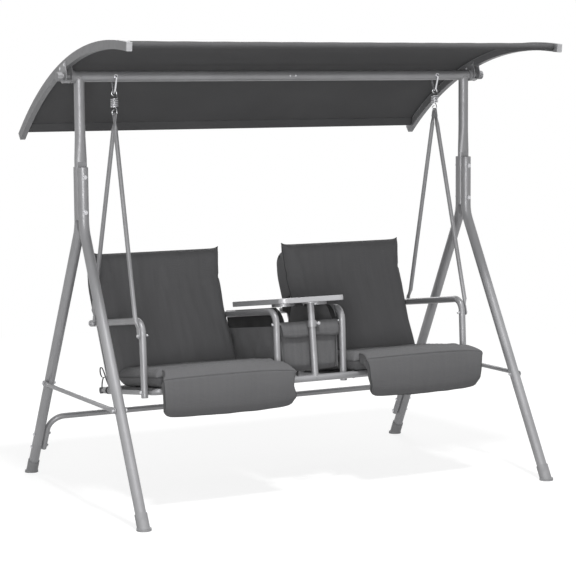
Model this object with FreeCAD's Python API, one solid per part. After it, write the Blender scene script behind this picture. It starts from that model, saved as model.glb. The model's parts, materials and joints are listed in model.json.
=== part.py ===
import FreeCAD, Part
import math
import os

# Two-seat garden swing with a tilting canopy. Millimetres, +X to the viewer's right, +Y to the rear, +Z up.
# The origin lies on the ground, under the middle of the top bar.

V = FreeCAD.Vector
X_AXIS = V(1, 0, 0)
Y_AXIS = V(0, 1, 0)
Z_AXIS = V(0, 0, 1)
SIDES = {"left": -1, "right": 1}
ENDS = {"front": -1, "rear": 1}

# Clearances
SLIP = 0.2              # tube ends, holes and sleeves that do not move
RUNNING = 0.3           # faces that move past each other
PIN_PLAY = 0.4          # holes on turning pins
HAIR = 0.002            # least difference between the two axes of an oval

# Stand tubes
TUBE = 38.0
TUBE_WALL = 1.5
BAR_HEIGHT = 1520.0     # axis of the top bar
BAR_HALF = 826.0
SPIGOT_LENGTH = 60.0
JOINT_SCREW_X = 27.0
JOINT_SCREW_STEP = 23.0
JOINT_SCREW = 5.0
JOINT_SCREW_LENGTH = 9.0

# Uprights, pressed oval at the foot
UPRIGHT_INSET = 20.0    # from the end of the bar to the upright's axis
UPRIGHT_X = BAR_HALF - UPRIGHT_INSET
OVAL_WIDTH = 46.0
OVAL_DEPTH = 30.0
FLAT_DEPTH = 22.0       # across the two pressed flats
PRESS_TOP = 1310.0
PRESS_BOTTOM = 1228.0
FLAT_TOP = 1218.0
UPRIGHT_BOTTOM = 1012.0
SADDLE_TRIM = 4.0       # horns cut off the saddle under the bar

# Legs
LEG_TOP = 1200.0
LEG_AXIS_Y = 20.0
FORK_HEIGHT = 982.0
LEG_BEND = 130.0
FOOT_Y = 556.0
LEG_SPLAY = 14.0
CLAMP_BOLT_HEIGHTS = (1165.0, 1040.0)

# Bolts, with the sizes of their heads as shares of the shank's diameter
BOLT = 8.0
SMALL_BOLT = 6.0
WASHER_SHARE = 2.0
WASHER_THICK_SHARE = 0.18
FLATS_SHARE = 1.6
HEAD_SHARE = 0.62
NUT_SHARE = 0.8
DOME_SHARE = 0.7        # radius of a domed nut's end

# Foot caps
CAP = 44.0
CAP_HEIGHT = 58.0
CAP_FLANGE = 52.0
CAP_FLANGE_HEIGHT = 9.0
CAP_FLOOR = 6.0

# Rear crossbar and side braces
CROSSBAR = 22.0
CROSSBAR_WALL = 1.2
CROSSBAR_HEIGHT = 232.0
CROSSBAR_END = 100.0
CROSSBAR_BEND = 60.0
CROSSBAR_BOLT_HEIGHTS = (164.0, 112.0)
BRACE = 16.0
BRACE_WALL = 1.2
BRACE_HEIGHT = 377.0
TAB_WIDTH = 21.0
TAB_THICK = 4.0
TAB_LENGTH = 26.0
TAB_PRESS = 26.0        # length over which a round rod is pressed flat

# Hanging links and springs
LINK_X = 673.0
LINK_WIRE = 7.0
LINK_HALF = 27.0        # half the width of the delta at the bar
LINK_CORNER = 5.0
LINK_BIGHT = 9.0        # radius of the bottom bend
LINK_LOW = 1463.0       # wire centre at the bottom bend
EYELET = 12.0
EYELET_BORE = 8.4
EYELET_FLANGE = 15.0
EYELET_LIP = 1.0
SPRING_WIRE = 4.5
COIL_RADIUS = 12.5
HOOK_RADIUS = 9.5
COIL_TURNS = 5
COIL_PITCH = 5.12
COIL_START = 60.0       # degrees off the hook plane where the coil begins
HOOK_DROP = 19.0        # from the hook's centre to the first turn
HOOK_SWEEP = 265.0

# Canopy
ARCH_RADIUS = 1400.0
ARCH_Y = -400.0
ARCH_Z = 237.0
ARCH_FRONT = -7.2       # degrees from the vertical through the arch centre
ARCH_REAR = 39.7
RAIL_STAND_OFF = 26.0   # rail's middle beyond the end of the bar
RAIL_X = BAR_HALF + RAIL_STAND_OFF
RAIL_WIDTH = 20.0
RAIL_DEPTH = 30.0
RAIL_WALL = 1.5
RAIL_CAP = 4.0
CANOPY_TUBE = 16.0
CANOPY_TUBE_WALL = 1.2
HEM_FRONT = 16.0        # rail left bare beyond the hem
HEM_REAR = 26.0
CLOTH = 2.0
CLOTH_GAP = 1.0         # cloth edge to rail
CLOTH_DROP = 3.0        # cloth below the rail's outer face

# Canopy pivot
PLUG_COLLAR = 46.0
PLUG_DEPTH = 36.0
CHEEK = 3.0
CHEEK_HALF = 32.0
CHEEK_BELOW = 20.0
CHEEK_CORNER = 20.0
CHEEK_LAP = 20.0        # height of the cheeks over the rail
STUD = 10.0
STUD_GRIP = 13.3        # stud inside the knob's lobes
SPACER = 18.0
RIVET = 6.0
RIVET_HEAD = 2.0
RIVET_SPACING = 44.0
KNOB = 34.0
KNOB_LENGTH = 19.0
KNOB_BOSS = 22.0
KNOB_BOSS_LENGTH = 6.0
KNOB_LOBES = 8
KNOB_FLUTE = 7.0

# Seat unit, built level and then tipped back as a whole
SEAT_TIP = 7.2          # degrees, front edge up
SEAT_BASE = 381.0       # height of the base tubes on the middle line before tipping
SEAT_TUBE = 25.0
SEAT_WALL = 1.5
OUTER_RAIL_X = 642.0
INNER_RAIL_X = 162.0
FRONT_RAIL_Y = -255.0
REAR_RAIL_Y = 237.0
BASE_BEND = 28.0
POST_FOOT_Y = -219.5
POST_FOOT_Z = -16.0
POST_HEAD_Y = -240.0
ARM_HEIGHT = 253.0
ARM_BEND = 45.0
ARM_OVERHANG = 11.0     # arm tube behind the back frame
POST_CAP = 4.0
HANGER_POST_BOLT = 200.0
HANGER_ARM_BOLT_Y = 189.0
HANGER = 16.0
HANGER_WALL = 1.2
HANGER_EYE = 10.0

# Back frames
BACK_FOOT_Y = 148.0
BACK_LEAN = 19.0
BACK_UPPER_LEAN = 0.0
BACK_KINK = 388.0
BACK_TOP = 478.0
BACK_BEND = 55.0
BACK_KINK_BEND = 120.0
SLING = 2.0
SLING_LAP = 6.0         # sling edge beyond the tube's crown line
BACK_SLING_START = 75.0 # along the back frame

# Cushions
PAD_WIDTH = 492.0
PAD_SHIFT = 4.5         # cushions lie this much nearer to the table than the seat's middle
SEAT_PAD_REAR = 80.0
SEAT_PAD_FRONT = -280.0
SEAT_PAD_THICK = 76.0
BACK_PAD_START = 71.0   # along the back frame
BACK_PAD_TOP = 512.0
BACK_PAD_THICK = 75.0
BACK_PAD_EARS = 8.0     # each top corner beyond the straight side
BOLSTER_TOP = 82.0
BOLSTER_SEAM = 48.0     # height of the front panel's upper seam, where the pad is thickest
BOLSTER_BOTTOM = -93.0
BOLSTER_THICK = 97.0
BOLSTER_TOP_SLOPE = 0.5 # share of the thickness lost above the seam
BOLSTER_FOOT_DRAW = 0.3 # share lost below it
BOLSTER_WIDTH = 520.0
BOLSTER_ROUND = 22.0    # lower corners
CORNER_SHARPNESS = 16   # power of the curve that rounds them
EAR_SHARPNESS = 8
PAD_STATIONS = 9
BOLSTER_STATIONS = 13
BACK_PAD_STATIONS = 15
BACK_PINCH = 0.3        # share of the thickness lost at the kink
BACK_PINCH_LENGTH = 38.0
PAD_DRAW = 5.0          # sides drawn in between the corners
PAD_SQUARENESS = 3.2
PAD_SEAM_LOW = 0.24     # edges of the end seams, as shares of the thickness
PAD_SEAM_HIGH = 0.58
PAD_CROWN = 0.14        # crown across the pad, as a share of the thickness
PAD_END_CROWN = 0.3     # share of the crown left at the end seams
PAD_BOW = 1.6           # sides and underside bowed out
PAD_GAP = 0.6

# Table
TABLE_WIDTH = 270.0
TABLE_FRONT = -283.0
TABLE_LENGTH = 416.0
TABLE_THICK = 20.0
TABLE_TOP = 299.0
TABLE_CORNER = 28.0
TABLE_REAR_CORNER = 8.0
TABLE_EDGE = 3.0
CUP = 89.0
CUP_X = 66.0
CUP_Y = -165.0
CUP_WALL = 2.0
CUP_BELOW = 11.0
CUP_RIM = 97.0
CUP_RIM_THICK = 1.5
COLLAR = 33.0
COLLAR_HEIGHT = 24.0
COLLAR_TOP = 212.0
SPINDLE = 21.4
SPINDLE_WALL = 1.5
SPINDLE_DEPTH = 95.0
TABLE_FLANGE = 64.0
TABLE_FLANGE_THICK = 4.0
LOCK_BACKED_OFF = 0.8   # from the loosened screw's tip to the spindle
LOCK_SCREW = 6.0
LOCK_KNOB = 15.0
LOCK_KNOB_LENGTH = 11.0
LOCK_BOSS = 13.0
LOCK_BOSS_LENGTH = 5.0

# Storage bag
BAG_ROD = 10.0
BAG_ROD_HEIGHT = 205.0
BAG_REAR_HEIGHT = 170.0
BAG_SIDE_TOP = 236.0
BAG_SHOULDER_Y = -180.0 # where the side's top edge starts to fall towards the front rod
BAG_BOTTOM = 32.0
BAG_HALF = 121.0
BAG_TAPER = 9.0
BAG_CLOTH = 2.5


# Basic shapes


def unit(vector):
    return V(vector) / vector.Length


def cylinder(start, end, diameter):
    return Part.makeCylinder(diameter / 2, (end - start).Length, start, end - start)


def straight_tube(start, end, diameter, wall):
    return cylinder(start, end, diameter).cut(cylinder(start, end, diameter - 2 * wall))


def slab(x0, x1, y0, y1, z0, z1):
    return Part.makeBox(x1 - x0, y1 - y0, z1 - z0, V(x0, y0, z0))


def bent_path(points, bends):
    """Straight runs through the points, joined by tangent arcs of one radius, or of one for each corner."""
    radii = bends if isinstance(bends, list) else [bends] * (len(points) - 2)
    edges = []
    start = points[0]
    for before, corner, after, radius in zip(points, points[1:], points[2:], radii):
        into = unit(corner - before)
        out = unit(after - corner)
        turn = into.getAngle(out)
        reach = radius * math.tan(turn / 2)
        middle = corner + unit(out - into) * (radius / math.cos(turn / 2) - radius)
        edges.append(Part.LineSegment(start, corner - into * reach).toShape())
        edges.append(Part.Arc(corner - into * reach, middle, corner + out * reach).toShape())
        start = corner + out * reach
    edges.append(Part.LineSegment(start, points[-1]).toShape())
    return Part.Wire(edges)


def bent_rod(points, bends, diameter):
    path = bent_path(points, bends)
    section = Part.Wire(Part.makeCircle(diameter / 2, points[0], points[1] - points[0]))
    return path.makePipeShell([section], True, False)


def bent_tube(points, bends, diameter, wall):
    return bent_rod(points, bends, diameter).cut(bent_rod(points, bends, diameter - 2 * wall))


def oval(centre, long_axis, short_axis, width, depth):
    """Oval wire. A full round is drawn a hair out of round, so that every oval starts on its long axis."""
    short = min(depth, width - HAIR)
    outline = Part.Ellipse(centre + long_axis * (width / 2), centre + short_axis * (short / 2), centre)
    return Part.Wire(outline.toShape())


def prism(points, direction):
    return Part.Face(Part.makePolygon(points + points[:1])).extrude(direction)


def bored(shape, start, end, diameter):
    return shape.cut(cylinder(start, end, diameter))


def hexagon(centre, direction, across_flats, height):
    side = unit(direction.cross(Z_AXIS if abs(direction.z) < 0.9 * direction.Length else X_AXIS))
    other = unit(direction.cross(side))
    radius = across_flats / math.sqrt(3)
    corners = []
    for i in range(6):
        turn = i * math.pi / 3
        corners.append(centre + side * (radius * math.cos(turn)) + other * (radius * math.sin(turn)))
    return prism(corners, unit(direction) * height)


def bolt_head(face, out, diameter, height_share):
    """Washer on a face, and the hexagon of a head or nut on it."""
    washer = WASHER_THICK_SHARE * diameter
    return [cylinder(face, face + out * washer, WASHER_SHARE * diameter),
            hexagon(face + out * washer, out, FLATS_SHARE * diameter, height_share * diameter)]


def through_bolt(start, end, diameter, domed=False):
    """Bolt with its head at start and its nut at end, where start and end are the clamped faces."""
    along = unit(end - start)
    tip = end + along * ((WASHER_THICK_SHARE + NUT_SHARE) * diameter)
    pieces = bolt_head(start, along * -1, diameter, HEAD_SHARE) + bolt_head(end, along, diameter, NUT_SHARE)
    if domed:
        pieces.append(Part.makeSphere(DOME_SHARE * diameter, tip))
    return cylinder(start, tip, diameter).multiFuse(pieces).removeSplitter()


def blind_bolt(start, end, diameter):
    """Bolt with its head at start, screwed into something that hides its tip at end."""
    along = unit(end - start)
    return cylinder(start, end, diameter).multiFuse(bolt_head(start, along * -1, diameter, HEAD_SHARE))


def flat_ended_rod(start, end, side, diameter, wall, hole, stand_off=0.0):
    """Round tube between two bolt centres, its ends pressed to upright tabs that face along X.

    The tube stands off outward from the tab at its lower end, to pass beside what the tab is bolted to."""
    tube_end = end + X_AXIS * (side * stand_off)
    along = unit(tube_end - start)
    level = unit(V(0, along.y, along.z))
    across = X_AXIS.cross(level)
    pressed = TAB_LENGTH + TAB_PRESS
    face = unit(along.cross(across))
    tube_start = start + along * pressed
    length = (tube_end - start).Length - 2 * pressed
    outside, bore = (Part.Face(oval(tube_start, across, face, size, size)).extrude(along * length)
                     for size in (diameter, diameter - 2 * wall))
    pieces = [outside.cut(bore)]
    for centre, tube_centre, way in ((start, start, 1), (end, tube_end, -1)):
        inward = level * way
        half = across * (TAB_WIDTH / 2)
        base = centre - X_AXIS * (TAB_THICK / 2)
        neck = base + inward * TAB_LENGTH
        outline = Part.Wire([Part.LineSegment(base + half, neck + half).toShape(),
                             Part.LineSegment(neck + half, neck - half).toShape(),
                             Part.LineSegment(neck - half, base - half).toShape(),
                             Part.Arc(base - half, base - inward * (TAB_WIDTH / 2), base + half).toShape()])
        tab = Part.Face(outline).extrude(X_AXIS * TAB_THICK)
        tab = bored(tab, centre - X_AXIS * TAB_THICK, centre + X_AXIS * TAB_THICK, hole)
        flat_end = oval(centre + inward * TAB_LENGTH, across, X_AXIS, TAB_WIDTH - 2 * SLIP, TAB_THICK - SLIP)
        round_end = oval(tube_centre + along * (way * pressed), across, face, diameter, diameter)
        pieces += [tab, Part.makeLoft([flat_end, round_end], True, True)]
    return pieces[0].multiFuse(pieces[1:])


def along_x(start, x):
    return V(x, start.y, start.z)


def tipped(shape):
    """Seat pieces are built level, with z = 0 on the base tubes, and tipped back about the middle line."""
    moved = shape.copy()
    moved.rotate(V(0, 0, 0), X_AXIS, -SEAT_TIP)
    moved.translate(V(0, 0, SEAT_BASE))
    return moved


def seat_frame(point):
    """A point of the world in the seat's level frame."""
    tip = math.radians(SEAT_TIP)
    z = point.z - SEAT_BASE
    level_y = point.y * math.cos(tip) - z * math.sin(tip)
    return V(point.x, level_y, point.y * math.sin(tip) + z * math.cos(tip))


def write(name, *solids):
    shape = solids[0] if len(solids) == 1 else Part.makeCompound(list(solids))
    shape.exportStep(os.path.join("parts", name + ".step"))


# Stand


def bar_axis(x):
    return V(x, 0, BAR_HEIGHT)


def bolt_hole(start, end, diameter):
    return cylinder(start, end, diameter + 2 * SLIP)


def make_top_bar():
    holes = []
    for side in SIDES.values():
        start = V(side * LINK_X, -TUBE, BAR_HEIGHT)
        holes.append(cylinder(start, start + Y_AXIS * (2 * TUBE), EYELET + 2 * SLIP))
    screw_tip = JOINT_SCREW_LENGTH - TUBE / 2
    screws = []
    for i in range(2):
        x = JOINT_SCREW_X + i * JOINT_SCREW_STEP
        face = V(x, -TUBE / 2, BAR_HEIGHT)
        shank = cylinder(face, V(x, screw_tip, BAR_HEIGHT), JOINT_SCREW)
        head = Part.makeCone(JOINT_SCREW, 0.7 * JOINT_SCREW, 0.5 * JOINT_SCREW, face, Y_AXIS * -1)
        screws.append(head.fuse(shank))
        holes.append(cylinder(face, V(x, screw_tip, BAR_HEIGHT), JOINT_SCREW + 2 * SLIP))
    spigot = TUBE - 2 * TUBE_WALL - 2 * SLIP
    left = cylinder(bar_axis(-BAR_HALF), bar_axis(0), TUBE)
    left = left.fuse(cylinder(bar_axis(0), bar_axis(SPIGOT_LENGTH), spigot))
    left = left.cut(cylinder(bar_axis(-BAR_HALF), bar_axis(-TUBE_WALL), TUBE - 2 * TUBE_WALL))
    left = left.cut(cylinder(bar_axis(-2 * TUBE_WALL), bar_axis(SPIGOT_LENGTH), spigot - 2 * TUBE_WALL))
    right = straight_tube(bar_axis(0), bar_axis(BAR_HALF), TUBE, TUBE_WALL)
    for hole in holes:
        left = left.cut(hole)
        right = right.cut(hole)
    write("top_bar_left", left)
    write("top_bar_right", right)
    write("bar_joint_screws", *screws)


def clamp_bolts(side):
    reach = LEG_AXIS_Y + TUBE / 2
    return [(V(side * UPRIGHT_X, -reach, z), V(side * UPRIGHT_X, reach, z)) for z in CLAMP_BOLT_HEIGHTS]


def oval_body(x, inset):
    """Upright without its bore: round above, pressed to an oval with two flats below."""
    centre = V(x, 0, 0)
    width = OVAL_WIDTH - 2 * inset
    depth = OVAL_DEPTH - 2 * inset
    round_end = oval(centre + Z_AXIS * PRESS_TOP, X_AXIS, Y_AXIS, TUBE - 2 * inset, TUBE - 2 * inset)
    oval_end = oval(centre + Z_AXIS * PRESS_BOTTOM, X_AXIS, Y_AXIS, width, depth)
    throat = Part.makeLoft([round_end, oval_end], True, True)
    above = Part.Face(round_end).extrude(Z_AXIS * (BAR_HEIGHT - SADDLE_TRIM - PRESS_TOP))
    below = Part.Face(oval(centre + Z_AXIS * UPRIGHT_BOTTOM, X_AXIS, Y_AXIS, width, depth))
    below = below.extrude(Z_AXIS * (PRESS_BOTTOM - UPRIGHT_BOTTOM))
    for sign in (-1, 1):
        far = sign * OVAL_DEPTH
        near = sign * (FLAT_DEPTH / 2 - inset)
        below = below.cut(slab(x - OVAL_WIDTH, x + OVAL_WIDTH, min(near, far), max(near, far),
                               UPRIGHT_BOTTOM, FLAT_TOP))
    return above.multiFuse([throat, below])


def make_upright(name, side):
    x = side * UPRIGHT_X
    upright = oval_body(x, 0).cut(oval_body(x, TUBE_WALL))
    upright = upright.cut(cylinder(bar_axis(x - TUBE), bar_axis(x + TUBE), TUBE))
    for start, end in clamp_bolts(side):
        upright = upright.cut(bolt_hole(start, end, BOLT))
    write(name + "_upright", upright)


def leg_axis(side, end, height):
    """Point on a leg's straight run at one height."""
    share = 1 - height / FORK_HEIGHT
    y = LEG_AXIS_Y + (FOOT_Y - LEG_AXIS_Y) * share
    return V(side * (UPRIGHT_X + LEG_SPLAY * share), end * y, height)


def leg_points(side, end, overrun):
    foot = leg_axis(side, end, 0)
    fork = leg_axis(side, end, FORK_HEIGHT)
    return [V(fork.x, fork.y, LEG_TOP), fork, foot + unit(foot - fork) * overrun]


def leg_body(side, end, inset):
    body = bent_rod(leg_points(side, end, TUBE), LEG_BEND, TUBE - 2 * inset)
    flat = FLAT_DEPTH / 2 + inset
    x = side * UPRIGHT_X
    middle = slab(x - 2 * TUBE, x + 2 * TUBE, -flat, flat, 0, LEG_TOP + TUBE)
    return body.cut(middle)


def crossbar_points():
    """Bends down along the inner faces of the rear legs."""
    points = []
    for side, height in ((-1, CROSSBAR_END), (-1, CROSSBAR_HEIGHT), (1, CROSSBAR_HEIGHT), (1, CROSSBAR_END)):
        leg = leg_axis(side, 1, height)
        points.append(leg - X_AXIS * (side * (TUBE + CROSSBAR) / 2))
    return points


def crossbar_bolts(side):
    pairs = []
    for height in CROSSBAR_BOLT_HEIGHTS:
        leg = leg_axis(side, 1, height)
        inner = leg - X_AXIS * (side * (TUBE / 2 + CROSSBAR))
        pairs.append((inner, leg + X_AXIS * (side * TUBE / 2)))
    return pairs


def brace_bolt(side, end):
    """Outer face of a brace's tab, and the inner face of the leg that it is bolted to."""
    leg = leg_axis(side, end, BRACE_HEIGHT)
    return leg + X_AXIS * (side * (TUBE / 2 + SLIP + TAB_THICK)), leg - X_AXIS * (side * TUBE / 2)


def make_legs():
    crossbar = bent_tube(crossbar_points(), CROSSBAR_BEND, CROSSBAR, CROSSBAR_WALL)
    bolts_made = []
    feet = []
    braces = []
    for side_name, side in SIDES.items():
        bolts_made += [through_bolt(start, end, BOLT) for start, end in clamp_bolts(side)]
        for start, end in crossbar_bolts(side):
            bolts_made.append(through_bolt(start, end, SMALL_BOLT))
            crossbar = crossbar.cut(bolt_hole(start, end, SMALL_BOLT))
        for end_name, end in ENDS.items():
            leg = leg_body(side, end, 0).cut(leg_body(side, end, TUBE_WALL))
            leg = leg.cut(slab(-2 * BAR_HALF, 2 * BAR_HALF, -2 * FOOT_Y, 2 * FOOT_Y, -2 * TUBE, CAP_FLOOR))
            for start, finish in clamp_bolts(side):
                leg = leg.cut(bolt_hole(start, finish, BOLT))
            bolts = [brace_bolt(side, end)]
            if end == ENDS["rear"]:
                bolts += crossbar_bolts(side)
            for start, finish in bolts:
                leg = leg.cut(bolt_hole(start, finish, SMALL_BOLT))
            write(side_name + "_" + end_name + "_leg", leg)
            feet.append(foot_cap(side, end))
            bolts_made.append(through_bolt(*brace_bolt(side, end), SMALL_BOLT))
        tab_x = X_AXIS * (side * TAB_THICK / 2)
        ends = [brace_bolt(side, end)[0] - tab_x for end in ENDS.values()]
        braces.append(flat_ended_rod(ends[0], ends[1], side, BRACE, BRACE_WALL, SMALL_BOLT + 2 * SLIP))
    write("rear_crossbar", crossbar)
    write("side_braces", *braces)
    write("foot_caps", *feet)
    write("stand_bolts", *bolts_made)


def foot_cap(side, end):
    """Slanted sleeve on a leg, with a flat flange on the ground."""
    foot = leg_axis(side, end, 0)
    up = unit(leg_axis(side, end, FORK_HEIGHT) - foot)
    sleeve = cylinder(foot - up * CAP, foot + up * CAP_HEIGHT, CAP)
    flange = Part.makeCone(CAP_FLANGE / 2, CAP_FLANGE / 2 - 2 * SLIP, CAP_FLANGE_HEIGHT, foot)
    socket = cylinder(foot - up * CAP, foot + up * 2 * CAP_HEIGHT, TUBE + 2 * SLIP)
    socket = socket.cut(slab(-2 * BAR_HALF, 2 * BAR_HALF, -2 * FOOT_Y, 2 * FOOT_Y, -2 * CAP, CAP_FLOOR))
    cap = sleeve.fuse(flange).cut(socket)
    cap = cap.cut(slab(-2 * BAR_HALF, 2 * BAR_HALF, -2 * FOOT_Y, 2 * FOOT_Y, -2 * CAP, 0))
    return cap.removeSplitter()


def make_hanging_links():
    """Closed delta of round wire through the bar, its ends butted inside the bar."""
    rise = BAR_HEIGHT - LINK_LOW
    slope = math.atan2(LINK_HALF, rise + LINK_BIGHT)
    for _ in range(6):
        tip = LINK_LOW + LINK_BIGHT - LINK_BIGHT / math.sin(slope)
        slope = math.atan2(LINK_HALF, BAR_HEIGHT - tip)
    links = []
    eyelets = []
    for side in SIDES.values():
        x = side * LINK_X
        points = [V(x, SLIP, BAR_HEIGHT), V(x, LINK_HALF, BAR_HEIGHT), V(x, 0, tip),
                  V(x, -LINK_HALF, BAR_HEIGHT), V(x, -SLIP, BAR_HEIGHT)]
        links.append(bent_rod(points, [LINK_CORNER, LINK_BIGHT, LINK_CORNER], LINK_WIRE))
        for end in ENDS.values():
            face = V(x, end * TUBE / 2, BAR_HEIGHT)
            inner = V(x, end * (TUBE / 2 - 4 * TUBE_WALL), BAR_HEIGHT)
            lip = V(x, end * (TUBE / 2 + EYELET_LIP), BAR_HEIGHT)
            ring = cylinder(inner, lip, EYELET).fuse(cylinder(face, lip, EYELET_FLANGE))
            ring = ring.cut(cylinder(bar_axis(x - TUBE), bar_axis(x + TUBE), TUBE - 8 * TUBE_WALL))
            eyelets.append(ring.cut(cylinder(inner, lip, EYELET_BORE)))
    write("hanging_links", *links)
    write("link_eyelets", *eyelets)


# Springs


def arc_from(start, control, end):
    """Arc from start to end whose end tangents meet at control, equally far from both."""
    middle = (start + end) * 0.5
    half = (end - start).Length / 2
    lift = control - middle
    if lift.Length < 1e-6:
        return Part.LineSegment(start, end).toShape()
    half_turn = math.acos(min(1.0, half / (control - start).Length))
    return Part.Arc(start, middle + unit(lift) * (half * math.tan(half_turn / 2)), end).toShape()


def biarc(start, start_way, end, end_way):
    """Two arcs that leave start along start_way and reach end along end_way."""
    gap = end - start
    both = start_way + end_way
    spare = 2 * (1 - start_way.dot(end_way))
    if spare < 1e-9:
        reach = gap.dot(gap) / (4 * gap.dot(end_way))
    else:
        reach = (-gap.dot(both) + math.sqrt(gap.dot(both) ** 2 + spare * gap.dot(gap))) / spare
    first = start + start_way * reach
    second = end - end_way * reach
    joint = (first + second) * 0.5
    return [arc_from(start, first, joint), arc_from(joint, second, end)]


def spring_levels():
    """Heights of the upper hook's centre, the first turn and the middle of the spring."""
    hook_centre = LINK_LOW + (LINK_WIRE + SPRING_WIRE) / 2 + RUNNING - HOOK_RADIUS
    coil_top = hook_centre - HOOK_DROP
    return hook_centre, coil_top, coil_top - COIL_PITCH * coil_sweep() / 720


def coil_sweep():
    return 360 * (COIL_TURNS + 1) - 2 * COIL_START


def spring_knots():
    """Points and directions along the wire: upper hook, coil, and the same hook turned over below."""
    hook_centre, coil_top, middle = spring_levels()
    knots = []
    hook_steps = 4
    for i in range(hook_steps + 1):
        turn = math.radians(HOOK_SWEEP * (1 - i / hook_steps))
        knots.append((V(HOOK_RADIUS * math.cos(turn), 0, hook_centre + HOOK_RADIUS * math.sin(turn)),
                      V(math.sin(turn), 0, -math.cos(turn))))
    sweep = coil_sweep()
    steps = round(sweep / 60)
    fall = COIL_PITCH / (2 * math.pi)
    for i in range(steps + 1):
        turn = math.radians(-COIL_START - sweep * i / steps)
        knots.append((V(COIL_RADIUS * math.cos(turn), COIL_RADIUS * math.sin(turn),
                        coil_top - COIL_PITCH * sweep / 360 * i / steps),
                      unit(V(COIL_RADIUS * math.sin(turn), -COIL_RADIUS * math.cos(turn), -fall))))
    for point, way in reversed(knots[:hook_steps + 1]):
        knots.append((V(point.x, -point.y, 2 * middle - point.z), V(-way.x, way.y, way.z)))
    return knots


def spring_path():
    edges = []
    knots = spring_knots()
    for (start, start_way), (end, end_way) in zip(knots, knots[1:]):
        edges += biarc(start, start_way, end, end_way)
    return Part.Wire(edges)


def least_self_gap(path, wire):
    """Smallest clear gap between stretches of the wire that are not neighbours along it."""
    points = path.discretize(Distance=1.0)
    apart = math.ceil(math.pi * wire)
    least = min(points[i].distanceToPoint(points[j])
                for i in range(len(points)) for j in range(i + apart, len(points)))
    return least - wire


def hanger_eye_height():
    """Centre of the rod eyes that hang on the bottom of the lower hook, with room for the wire's curve."""
    hook_centre, _, middle = spring_levels()
    wire = 2 * middle - hook_centre - HOOK_RADIUS
    rise = HOOK_RADIUS - math.sqrt(HOOK_RADIUS ** 2 - (TAB_THICK + RUNNING) ** 2)
    return wire + rise + SPRING_WIRE / 2 + RUNNING - HANGER_EYE / 2


def make_springs():
    path = spring_path()
    print("spring: least gap between turns %.2f mm" % least_self_gap(path, SPRING_WIRE))
    start, way = spring_knots()[0]
    section = Part.Wire(Part.makeCircle(SPRING_WIRE / 2, start, way))
    spring = path.makePipeShell([section], True, False)
    print("spring: volume %.1f, section times length %.1f"
          % (spring.Volume, math.pi * SPRING_WIRE ** 2 / 4 * path.Length))
    for name, side in SIDES.items():
        placed = spring.copy()
        placed.translate(V(side * LINK_X, 0, 0))
        write(name + "_spring", placed)


# Canopy


def arch(x, radius, angle):
    turn = math.radians(angle)
    return V(x, ARCH_Y + radius * math.sin(turn), ARCH_Z + radius * math.cos(turn))


def arch_degrees(length):
    return math.degrees(length / ARCH_RADIUS)


def arch_bar(x0, x1, r0, r1, start, end):
    """Rectangular bar bent about the arch centre, from one angle to another."""
    corners = [arch(x0, r0, start), arch(x1, r0, start), arch(x1, r1, start), arch(x0, r1, start)]
    face = Part.Face(Part.makePolygon(corners + corners[:1]))
    return face.revolve(arch(0, 0, 0), X_AXIS * -1, end - start)


def hem_tube_line(end):
    """Angle and radius of a cross tube's centre, just under the cloth."""
    radius = ARCH_RADIUS - CLOTH_DROP - CLOTH - CANOPY_TUBE / 2 - SLIP
    if end == ENDS["front"]:
        return radius, ARCH_FRONT + arch_degrees(HEM_FRONT + CANOPY_TUBE / 2)
    return radius, ARCH_REAR - arch_degrees(HEM_REAR + CANOPY_TUBE / 2)


def make_canopy():
    inner = ARCH_RADIUS - RAIL_DEPTH
    half = RAIL_WIDTH / 2
    cap = arch_degrees(RAIL_CAP)
    caps = []
    rivets = [rivet_ends(side, sign) for side in SIDES.values() for sign in (-1, 1)]
    for name, side in SIDES.items():
        x = side * RAIL_X
        rail = arch_bar(x - half, x + half, inner, ARCH_RADIUS, ARCH_FRONT, ARCH_REAR)
        rail = rail.cut(arch_bar(x - half + RAIL_WALL, x + half - RAIL_WALL, inner + RAIL_WALL,
                                 ARCH_RADIUS - RAIL_WALL, ARCH_FRONT, ARCH_REAR))
        for start, end in rivets:
            rail = rail.cut(bolt_hole(start, end, RIVET))
        write("canopy_" + name + "_rail", rail)
        bore = half - RAIL_WALL - SLIP
        for end, way in ((ARCH_FRONT, -1), (ARCH_REAR, 1)):
            lid = sorted((end, end + way * cap))
            plug = sorted((end, end - 3 * way * cap))
            cover = arch_bar(x - half, x + half, inner, ARCH_RADIUS, *lid)
            stem = arch_bar(x - bore, x + bore, inner + half - bore, ARCH_RADIUS - half + bore, *plug)
            caps.append(cover.fuse(stem))
        make_knob(name, side)
    write("canopy_brackets", *[bracket(side) for side in SIDES.values()])
    write("rail_end_caps", *caps)
    write("bracket_rivets", *[rivet(start, end) for start, end in rivets])
    cloth_top = ARCH_RADIUS - CLOTH_DROP
    reach = RAIL_X - half
    angles = [hem_tube_line(end)[1] for end in ENDS.values()]
    cloth = arch_bar(CLOTH_GAP - reach, reach - CLOTH_GAP, cloth_top - CLOTH, cloth_top, *angles)
    tubes = []
    for end in ENDS.values():
        radius, angle = hem_tube_line(end)
        ends = (arch(-reach, radius, angle), arch(reach, radius, angle))
        tubes.append(straight_tube(*ends, CANOPY_TUBE, CANOPY_TUBE_WALL))
        hem = (arch(CLOTH_GAP - reach, radius, angle), arch(reach - CLOTH_GAP, radius, angle))
        cloth = cloth.fuse(cylinder(*hem, CANOPY_TUBE + 2 * SLIP + 2 * CLOTH))
    for end in ENDS.values():
        radius, angle = hem_tube_line(end)
        ends = (arch(-reach, radius, angle), arch(reach, radius, angle))
        cloth = cloth.cut(cylinder(*ends, CANOPY_TUBE + 2 * SLIP))
    write("canopy_cross_tubes", *tubes)
    write("canopy_cloth", cloth)


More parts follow.
